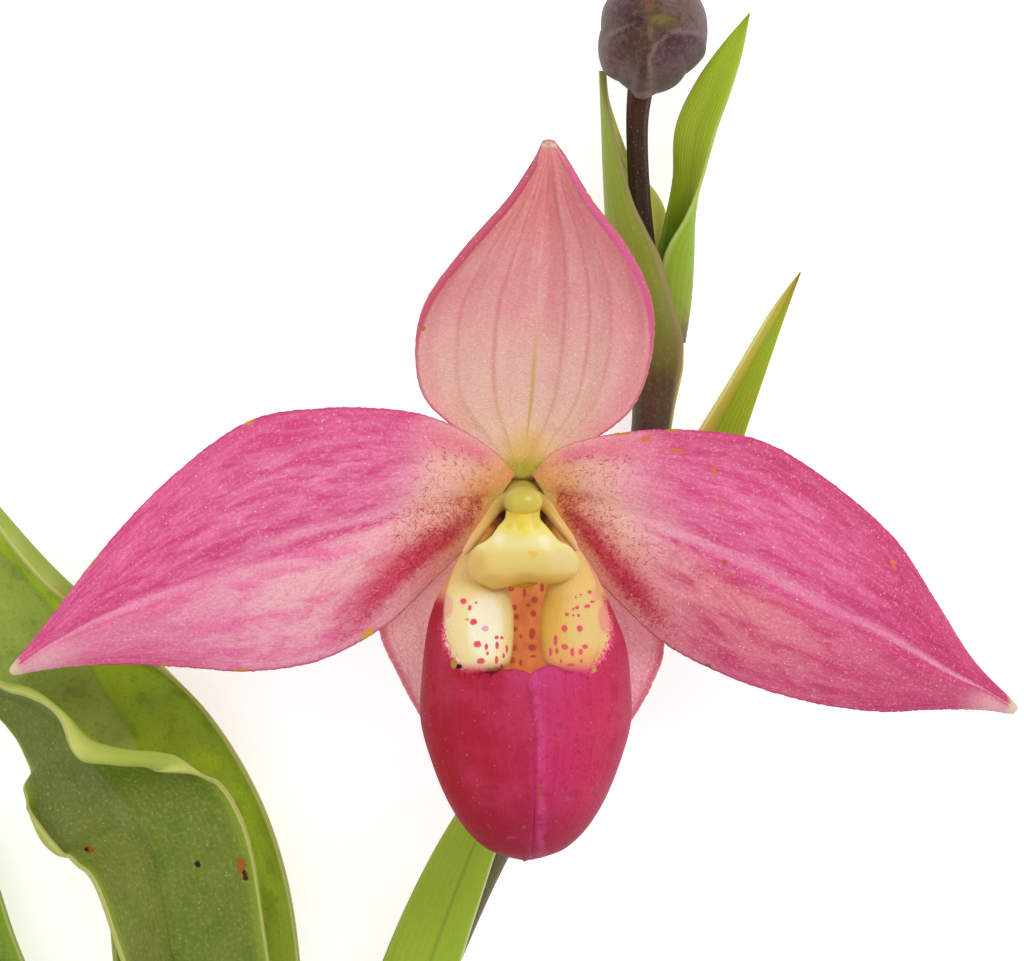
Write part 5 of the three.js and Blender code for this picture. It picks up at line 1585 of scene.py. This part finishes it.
keel_x = sum_of("MULTIPLY_ADD", lower_front, KEEL_X[1] - KEEL_X[0], KEEL_X[0])
keel_gap = sum_of("SUBTRACT", spot_x, sum_of("MULTIPLY_ADD", cloud, 0.5, keel_x))
keel_gap = sum_of("ADD", keel_gap, 0.25)
rim_flush = times(near(0.0, 5.0, sum_of("SUBTRACT", spot_x, 1.8)), edge(-16.5, -13.0, spot_y), front)
tint = layered(
    tint,
    # Painted highlight along the keel, with a dark line beside it.
    ("cf4c86", near(0.2, 0.6, keel_gap), front, edge(0.3, 0.6, blotch), 0.6),
    ("9c2048", near(-0.3, 0.28, keel_gap), front, 0.4),
    ("cc4a88", rim_flush, 0.45),
)
# The mouth's sides turn from crimson through pink to the cream of the folded lobes, which spreads a
# little way over the wall with a ragged edge.
lobe_reach = edge(0.8, 0.76, frontness)
wobble = swing(speckle, 0.5)
spread = 0.0
for middle, half in CREAM_BLOTS:
    cream_blot = place_effect(blot, X=spot_x, Y=spot_y, Middle=middle, Half=half, Rough=wobble)
    spread = sum_of("MAXIMUM", cream_blot["Mask"], spread)
on_roll = times(edge(0.97, 1.01, row), lobe_reach)
flush = times(edge(0.02, 0.28, spread), edge(0.6, 0.9, row), edge(0.3, 0.42, frontness))
tint = layered(tint, ("e25c7c", flush, edge(0.82, 0.78, frontness), 0.85))
cream = times(edge(0.3, 0.62, spread), edge(0.6, 0.9, row), edge(0.8, 0.76, frontness))
cream = sum_of("MAXIMUM", cream, on_roll)
# Painted light: the right lobe is painted yellower than the left, deepening as painted shade towards its
# inner edge.
left_cream = blended(edge(1.5, 1.95, row), "ecd69c", "e4cf78")
right_cream = blended(edge(2.4, 4.4, spot_x), "dcac4c", "e0be78")
right_cream = blended(edge(-10.8, -12.8, spot_y), right_cream, "e09c60")
cream_tint = blended(edge(-0.5, 0.5, side), left_cream, right_cream)
# Painted highlight: a near-white blot on the middle of the left lobe.
cream_tint = blotted(cream_tint, spot_x, spot_y, [(-2.9, -9.8, 1.5, 2.8, "f2e8c8")])
cream_tint = layered(cream_tint, ("e6c070", edge(-8.0, -6.4, spot_y), 0.8))
wobble = swing(speckle, 0.7)
cream_tint = blotted(cream_tint, spot_x, spot_y, LOBE_TINTS, wobble)
reds = [(x, y, DOT_BLEED * half_x, DOT_BLEED * half_y, "dc5068") for x, y, half_x, half_y in LOBE_DOTS]
cream_tint = blotted(cream_tint, spot_x, spot_y, reds, wobble)
# Above them the wall is salmon on its way back to the foot.
shoulder = times(edge(-8.3, -7.0, spot_y), edge(0.8, 0.7, frontness), edge(1.01, 0.97, row))
shoulder_tint = blended(edge(-0.4, 0.4, side), "e09a72", "e6a878")
shoulder_tint = blended(edge(-5.0, -3.0, spot_y), shoulder_tint, "dca05c")
tint = layered(tint, (shoulder_tint, shoulder), (cream_tint, cream))
tint = blotted(tint, spot_x, spot_y, WALL_MARKS, wobble)
red_speckle = times(edge(0.55, 0.72, speckle), edge(0.5, 0.0, cream))
# Painted glints on the grain's cells.
tint = layered(tint, ("8c1434", red_speckle, 0.35), ("f0a8c0", grain["Sparkle"], 0.3))
wire(shader, tint, "Base Color")
bump(shader, sum_of("MULTIPLY_ADD", stripes, 1.6, grain["Height"]), 0.05)

# Painted glow: the inside's colour also feeds its emission, lighting the deep slot between the lobes.
inside_paint, tree, shader = new_material("pouch_inside_orange", 0.6, Emission_Strength=0.5)
place = object_place(tree)
spot_x, spot_y = place_from(tree, FLOWER_CENTRE)
cloud = noise(place, 0.6 * PER_MM, 3)
tint = blended(edge(0.35, 0.65, cloud), "bc7846", "cc9058")
tint = layered(tint, ("c26a4c", near(0.2, 0.5, spot_x), 0.3))
wobble = swing(noise(place, 2.5 * PER_MM, 2), 0.6)
browns = [(*dot, "a4523c") for dot in SLOT_DOTS]
tint = blotted(tint, spot_x, spot_y, browns, wobble)
wire(shader, tint, "Base Color", "Emission Color")

pouch = pouch_grid()
points, blocks = bag_of(pouch, POUCH_THICK)
pouch_turn = round_turns(POUCH_TURNS)
wall_places = np.linspace(0, 1, POUCH_WALL_ROWS + 1)
roll_places = 1 + np.linspace(0, 1, POUCH_ROLL_ROWS + 1)[1:]
pouch_rows = np.concatenate((wall_places, roll_places))[:, None]
layer = np.stack(np.broadcast_arrays(-np.sin(pouch_turn), pouch_rows, -np.cos(pouch_turn)), -1)
pattern = np.concatenate((layer.reshape(-1, 3), layer.reshape(-1, 3), [[0, 0, 1], [0, 0, 1]]))
pouch_paints = [outside_paint, inside_paint, outside_paint, outside_paint, inside_paint]
pouch_piece = make_piece("pouch_bag", points, blocks, pouch_paints, pattern)
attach(pouch_piece, "root")
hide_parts("pouch")

# ---------------------------------------------------------------- column
# The short fleshy column in front of everything: a glossy green knob, a broad cream shield that hangs
# over the pouch's mouth, and beside its neck two anthers, brown in their slots, behind ochre ridges.

SHIELD_THICK = 1.1
# Rows from the knob to the lower edge: [y, left x, right x, z, droop of the edges].
SHIELD = [
    [-0.7, -1.15, 1.30, 8.6, 0.4],
    [-1.5, -1.30, 1.35, 8.85, 0.4],
    [-2.1, -1.80, 1.85, 9.0, 0.5],
    [-2.8, -2.30, 2.45, 9.10, 0.6],
    [-3.35, -2.95, 3.05, 9.15, 0.8],
    [-3.85, -3.70, 3.85, 9.20, 1.0],
    [-4.6, -4.15, 4.35, 9.15, 1.2],
    [-5.3, -4.20, 4.35, 9.00, 1.2],
    [-5.85, -3.90, 3.95, 8.70, 1.0],
    [-6.2, -3.20, 3.10, 8.30, 0.7],
]
SHIELD_STEPS = 90
SHIELD_COLUMNS = 45
# Colours of the shield at heights from the flower's centre.
SHIELD_STOPS = [
    (-6.8, "d8ac4c"),
    (-6.0, "dcb860"),
    (-4.6, "e0c670"),
    (-3.2, "e6d68c"),
    (-2.2, "e6d468"),
    (-1.3, "d8b83c"),
]
# Its soft marks, a yellow middle, pale cheeks that are painted highlights on the swollen cheeks, and duller
# edges, and then its orange flecks.
SHIELD_MARKS = [
    (0.2, -2.2, 1.3, 1.7, "e6d048"),
    (-1.8, -3.0, 1.2, 1.4, "eee0b0"),
    (1.8, -3.1, 1.1, 1.2, "f0e2b0"),
    (3.3, -4.6, 2.4, 2.0, "e0c684"),
    (-3.6, -5.0, 2.6, 2.3, "d8b060"),
    (-2.2, -6.1, 2.0, 1.0, "d8ac58"),
    (0.2, -5.9, 1.5, 0.7, "d8b55c"),
]
SHIELD_FLECKS = [
    (-1.0, -1.8, 0.30, 0.60, "dcc04c"),
    (1.1, -1.8, 0.30, 0.55, "dec250"),
    (0.85, -4.2, 0.46, 0.26, "e8bc40"),
    (0.0, -1.7, 0.55, 0.65, "e2c434"),
]
POST = [
    [0, 0, -1.85, 1.55],
    [0, 0, -0.4, 1.5],
    [0, 0, 2.4, 1.35],
    [0, -0.3, 5.4, 1.3],
    [0, -0.6, 7.2, 1.2],
    [0, -0.8, 8.3, 0.9],
]
KNOB = {"centre": (0.07, -0.1, 8.6), "radii": (1.55, 1.2, 1.2)}
# Centre lines [x, y, z, radius] of the anthers in their slots, and of the ridges beside them.
ANTHERS = {
    "column_anther_left": [
        [-1.4, -0.9, 8.0, 0.2],
        [-1.62, -1.35, 8.3, 0.32],
        [-2.2, -2.05, 8.3, 0.3],
        [-2.75, -2.8, 8.2, 0.28],
        [-3.35, -3.45, 8.0, 0.14],
    ],
    "column_anther_right": [
        [1.4, -0.9, 8.0, 0.2],
        [1.62, -1.35, 8.3, 0.32],
        [2.25, -2.15, 8.4, 0.28],
        [2.92, -3.0, 8.4, 0.26],
        [3.62, -3.6, 8.1, 0.14],
    ],
}
RIDGES = {
    "column_ridge_left": [
        [-0.9, 0.05, 6.2, 0.75],
        [-1.8, -0.6, 6.8, 0.68],
        [-2.48, -1.5, 7.1, 0.58],
        [-3.16, -2.4, 7.1, 0.52],
        [-3.86, -3.25, 6.9, 0.42],
        [-4.5, -4.1, 6.5, 0.25],
    ],
    "column_ridge_right": [
        [1.0, 0.05, 6.2, 0.75],
        [1.8, -0.55, 6.9, 0.66],
        [2.45, -1.4, 7.3, 0.54],
        [3.15, -2.3, 7.4, 0.46],
        [3.8, -3.15, 7.3, 0.38],
        [4.25, -3.9, 7.0, 0.22],
    ],
}
STIGMA = {"centre": (0.1, -5.2, 6.9), "radii": (1.75, 1.7, 0.9)}
COLUMN_STEPS = 40
BALL_STEPS = 28
BALL_SIDES = 48


def ball_rings(centre, radii):
    """Rings of an ellipsoid about an upright axis, from just above its lower pole to its upper one."""
    polar = np.linspace(0, np.pi, BALL_STEPS + 2)[1:-1, None]
    turn = round_turns(BALL_SIDES)
    ring = np.stack(
        np.broadcast_arrays(np.sin(polar) * np.cos(turn), np.sin(polar) * np.sin(turn), -np.cos(polar)),
        -1,
    )
    return ring * radii + centre + FLOWER_CENTRE


def column_rings(rows):
    """Rings round a centre line of [x, y, z, radius] rows from the flower's centre."""
    return stem_rings(np.array(rows) + (*FLOWER_CENTRE, 0), COLUMN_STEPS, BALL_SIDES)


shield_paint, tree, shader = new_material(
    "column_shield_cream", 0.4, Specular_IOR_Level=0.35, Coat_Weight=0.1, Coat_Roughness=0.3
)
upper = pattern_of(tree)[2]
place = object_place(tree)
spot_x, spot_y = place_from(tree, FLOWER_CENTRE)
cloud = noise(place, 0.5 * PER_MM, 3)
tint = graded(spot_y, SHIELD_STOPS)
tint = blotted(tint, spot_x, spot_y, SHIELD_MARKS, sum_of("MULTIPLY_ADD", cloud, 0.9, 0.05))
rough = swing(noise(place, 2.2 * PER_MM, 2), 1.6)
tint = blotted(tint, spot_x, spot_y, SHIELD_FLECKS, rough)
tint = blended(upper, "c8963c", tint)
wire(shader, tint, "Base Color")
bump(shader, cloud, 0.05)

knob_paint, tree, shader = new_material(
    "column_knob_green", 0.32, Specular_IOR_Level=0.4, Coat_Weight=0.25, Coat_Roughness=0.2
)
spot_x, spot_y = place_from(tree, FLOWER_CENTRE)
tint = graded(spot_y, [(-1.3, "dcb436"), (-0.7, "d0b43c"), (0.2, "c8b440"), (0.9, "b8a636")])
# Painted shade: the knob's left side is darkened to olive.
tint = blended(edge(-0.5, -1.4, spot_x), tint, "b0a034")
wire(shader, tint, "Base Color")

post_paint, tree, shader = new_material("column_ochre", 0.4, Specular_IOR_Level=0.35)
place = object_place(tree)
spot_y = place_from(tree, FLOWER_CENTRE)[1]
tint = blended(noise(place, 0.8 * PER_MM, 3), "c08e2c", "cda23c")
tint = blended(edge(-0.6, 0.9, spot_y), tint, "aaa02e")
wire(shader, tint, "Base Color")

ridge_paint, tree, shader = new_material("column_ridge_ochre", 0.32, Specular_IOR_Level=0.45)
lengthwise = pattern_of(tree)[1]
tint = graded(lengthwise, [(0, "b09c34"), (0.25, "c89c40"), (0.6, "dcac5a"), (1, "e2b27c")])
wire(shader, tint, "Base Color")

anther_paint, tree, shader = new_material("column_anther_brown", 0.8, Specular_IOR_Level=0.1)
lengthwise = pattern_of(tree)[1]
crumb = noise(object_place(tree), 3.0 * PER_MM, 2)
tint = graded(lengthwise, [(0.25, "2c0e06"), (0.45, "74381a"), (0.65, "b4762e"), (0.9, "c48c42")])
tint = layered(tint, ("8c4a20", edge(0.5, 0.7, crumb), 0.35))
wire(shader, tint, "Base Color")

t = np.linspace(0, 1, SHIELD_STEPS + 1)
w = np.linspace(-1, 1, 2 * SHIELD_COLUMNS + 1)
y, left, right, z, droop = along(SHIELD, t).T[..., None]
# The lower edge hangs lowest on its left and is drawn up in the middle, and the cheeks swell.
hem = -0.35 * bell(-0.6, 0.42, w) + 0.22 * bell(0.1, 0.4, w)
swell = 0.35 * bell(0.58, 0.35, np.abs(w)) * smooth(0.35, 0.7, t)[:, None]
shield = np.stack(
    np.broadcast_arrays(
        (left + right) / 2 + (right - left) / 2 * w,
        y + hem * smooth(0.6, 1.0, t)[:, None],
        z - droop * w**2 + swell - 0.5 * smooth(0.8, 1.0, t)[:, None],
    ),
    -1,
)[:, ::-1] + FLOWER_CENTRE
points, faces, pattern = closed_blade(shield, SHIELD_THICK)
pattern[:, 0] *= -1
shield_piece = make_piece("column_shield", points, [faces], [shield_paint], pattern)
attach(shield_piece, "root")
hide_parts("column")

column_bodies = {
    "column_knob": (ball_rings(**KNOB), knob_paint),
    "column_post": (column_rings(POST), post_paint),
    "column_stigma": (ball_rings(**STIGMA), post_paint),
}
for group, paint in ((ANTHERS, anther_paint), (RIDGES, ridge_paint)):
    for name, rows in group.items():
        column_bodies[name] = (column_rings(rows), paint)
for name, (rings, paint) in column_bodies.items():
    points, blocks, pattern = closed_rings(rings)
    body = make_piece(name, points, blocks, [paint] * 3, pattern)
    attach(body, "root")

# Brown fringe between each shoulder of the shield and its anther.
FRINGE_HAIRS = 320
FRINGE_GIRTH = 0.03
FRINGE_CURL = 0.4
FRINGE_ROOT = (0, 0, -0.3)  # from the middle of the shield towards its back
fringe_paint, tree, shader = new_material("column_fringe_brown", 0.5)
shader.inputs["Base Color"].default_value = hue("5c2c14")
draw = np.random.default_rng(21)
fringe_t = draw.uniform(0.10, 0.46, FRINGE_HAIRS)
fringe_w = np.where(np.arange(FRINGE_HAIRS) % 2 == 0, -1.0, 1.0) * draw.uniform(0.96, 1.0, FRINGE_HAIRS)
roots = on_grid(shield, fringe_w, fringe_t) + FRINGE_ROOT
aside = np.stack((-np.sign(fringe_w), np.full(FRINGE_HAIRS, 0.35), np.full(FRINGE_HAIRS, -0.1)), -1)
directions = unit(aside + draw.normal(0, 0.35, (FRINGE_HAIRS, 3)))
lengths = draw.uniform(0.25, 0.6, FRINGE_HAIRS)
points, blocks, pattern = hair_tufts(
    roots, directions, lengths, FRINGE_GIRTH, FRINGE_CURL, fringe_t, 22
)
fringe = make_piece("column_fringe", points, blocks, [fringe_paint] * 3, pattern)
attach(fringe, "root")

# ---------------------------------------------------------------- bud
# The unopened flower at the stem's end, nodding upwards: three fleshy downy lobes folded shut, creased
# where they meet at the tip.

BUD_CENTRE = (27.7, 145.6, 8.2)
BUD_LENGTH = 5.2
BUD_LEAN = 14
BUD_BLUNTNESS = 0.85
BUD_TAPER = 0.12
# Radius round the bud's widest part, at degrees counterclockwise from its right.
BUD_OUTLINE = [
    [0, 4.4], [15, 4.65], [30, 5.0], [45, 5.3], [70, 5.0], [90, 4.7], [115, 5.0], [130, 5.2],
    [145, 4.9], [165, 4.3], [180, 4.4], [195, 4.5], [210, 4.6], [226, 4.1], [245, 4.2], [252, 4.6],
    [260, 4.65], [268, 4.3], [275, 4.05],
    [301, 3.9], [320, 3.65], [335, 4.0], [349, 4.4], [360, 4.4],
]
# Furrows (-) and ridges (+) down the bud: height, degrees round it and half width in degrees.
BUD_FURROWS = [(-0.8, 176, 11), (-0.6, 300, 20), (-0.5, 60, 14), (0.35, 258, 14)]
BUD_STEPS = 90
BUD_SIDES = 180
# Clouds of the bud: brown and mauve, green and orange where the tips meet.
BUD_MARKS = [
    (2.6, 2.2, 2.4, 2.0, "644a44"),
    (-1.8, 2.2, 1.6, 1.6, "4c3030"),
    (-1.2, -1.2, 1.2, 1.9, "4c3424"),
    (-0.3, 2.6, 1.0, 1.2, "583826"),
    (-0.35, 2.7, 0.4, 0.9, "74462a"),
    (0.7, 1.3, 1.7, 0.8, "574828"),
    (0.6, 1.3, 1.0, 0.45, "6c5e2e"),
    (-0.3, 0.4, 0.25, 0.9, "6a5630"),
]

bud_paint, tree, shader = new_material("bud_brown", 0.6, Specular_IOR_Level=0.25, Sheen_Weight=0.10)
place = object_place(tree)
bud_x, bud_y = place_from(tree, BUD_CENTRE)
lengthwise = pattern_of(tree)[1]
cloud = noise(place, 0.35 * PER_MM, 4, 0.6)
speckle = noise(place, 2.2 * PER_MM, 3, 0.6)
grain = place_effect(cell_grain, Vector=place, Scale=5.5 * PER_MM, Share=0.03)
tint = blended(edge(0.35, 0.65, cloud), "40261e", "583c32")
rough = swing(speckle, 1.2)
tint = blotted(tint, bud_x, bud_y, BUD_MARKS, rough)
# A pale ridge runs down beside the middle, with a dark facet of purple on its right. Its place is 0 at
# 3.2 mm below the middle and 1 at 0.4 mm above it.
ridge_place = sum_of("MULTIPLY_ADD", bud_y, 1 / 3.6, 3.2 / 3.6)
ridge_x = course(ridge_place, [(0.1, 0.26), (0.36, 0.21), (0.64, 0.36), (0.9, 0.66), (1.0, 1.0)])
ridge_gap = sum_of("SUBTRACT", bud_x, sum_of("MULTIPLY_ADD", ridge_x, 3.0, -1.0))
facet = times(edge(0.1, 0.6, ridge_gap), edge(0.5, -0.1, bud_y), edge(-3.0, -1.6, bud_y))
tint = layered(
    tint,
    ("4c2c38", facet, 0.8),
    ("8c7470", near(0.0, 0.42, ridge_gap), edge(0.9, 0.2, bud_y), 0.55),
    ("8a7270", near(0.35, 0.4, bud_y), edge(0.8, 1.5, bud_x), 0.5),
)
# Painted shade: a dark line in the crease where two of its tips meet.
crease_y = sum_of("MULTIPLY_ADD", bud_x, 0.53, 1.76)
crease_gap = sum_of("SUBTRACT", bud_y, sum_of("MULTIPLY_ADD", cloud, 0.3, crease_y))
crease = times(near(-0.25, 0.4, crease_gap), edge(-3.9, -3.0, bud_x), edge(-0.4, -1.1, bud_x))
tint = layered(
    tint,
    ("2a1216", crease, 0.85),
    ("a89490", near(-4.55, 0.35, bud_y), near(-1.0, 1.6, bud_x), 0.7),
    ("6c5656", edge(0.74, 0.6, lengthwise), 0.5),
    ("76594c", edge(0.5, 0.65, speckle), 0.45),
    ("2c1614", edge(0.48, 0.34, speckle), 0.4),
    # Painted glints on the grain's cells.
    ("a8938c", grain["Sparkle"], 0.3),
)
wire(shader, tint, "Base Color")
bump(shader, sum_of("ADD", grain["Height"], times(cloud, 3.0)), 0.04)

polar = np.linspace(0, np.pi, BUD_STEPS + 2)[1:-1, None]
turn = round_turns(BUD_SIDES)
rise = -np.cos(polar)
reach = np.interp(np.degrees(turn), *np.array(BUD_OUTLINE).T)
upper_part = smooth(0.0, 0.8, rise) * smooth(1.0, 0.93, rise)
relief = 0.0
for height, degrees, half in BUD_FURROWS:
    relief = relief + height * bell(0, half, (np.degrees(turn) - degrees + 180) % 360 - 180)
girth = np.sin(polar) ** BUD_BLUNTNESS * (1 - BUD_TAPER * rise) * reach + relief * upper_part
body = np.stack(
    np.broadcast_arrays(girth * np.cos(turn), girth * np.sin(turn), BUD_LENGTH * rise), -1
)
lean = np.radians(BUD_LEAN)
lean_y = body[..., 1] * np.cos(lean) + body[..., 2] * np.sin(lean)
lean_z = body[..., 2] * np.cos(lean) - body[..., 1] * np.sin(lean)
points, blocks, pattern = closed_rings(np.stack((body[..., 0], lean_y, lean_z), -1) + BUD_CENTRE)
bud_piece = make_piece("bud_body", points, blocks, [bud_paint] * 3, pattern)
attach(bud_piece, "root")
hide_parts("bud")
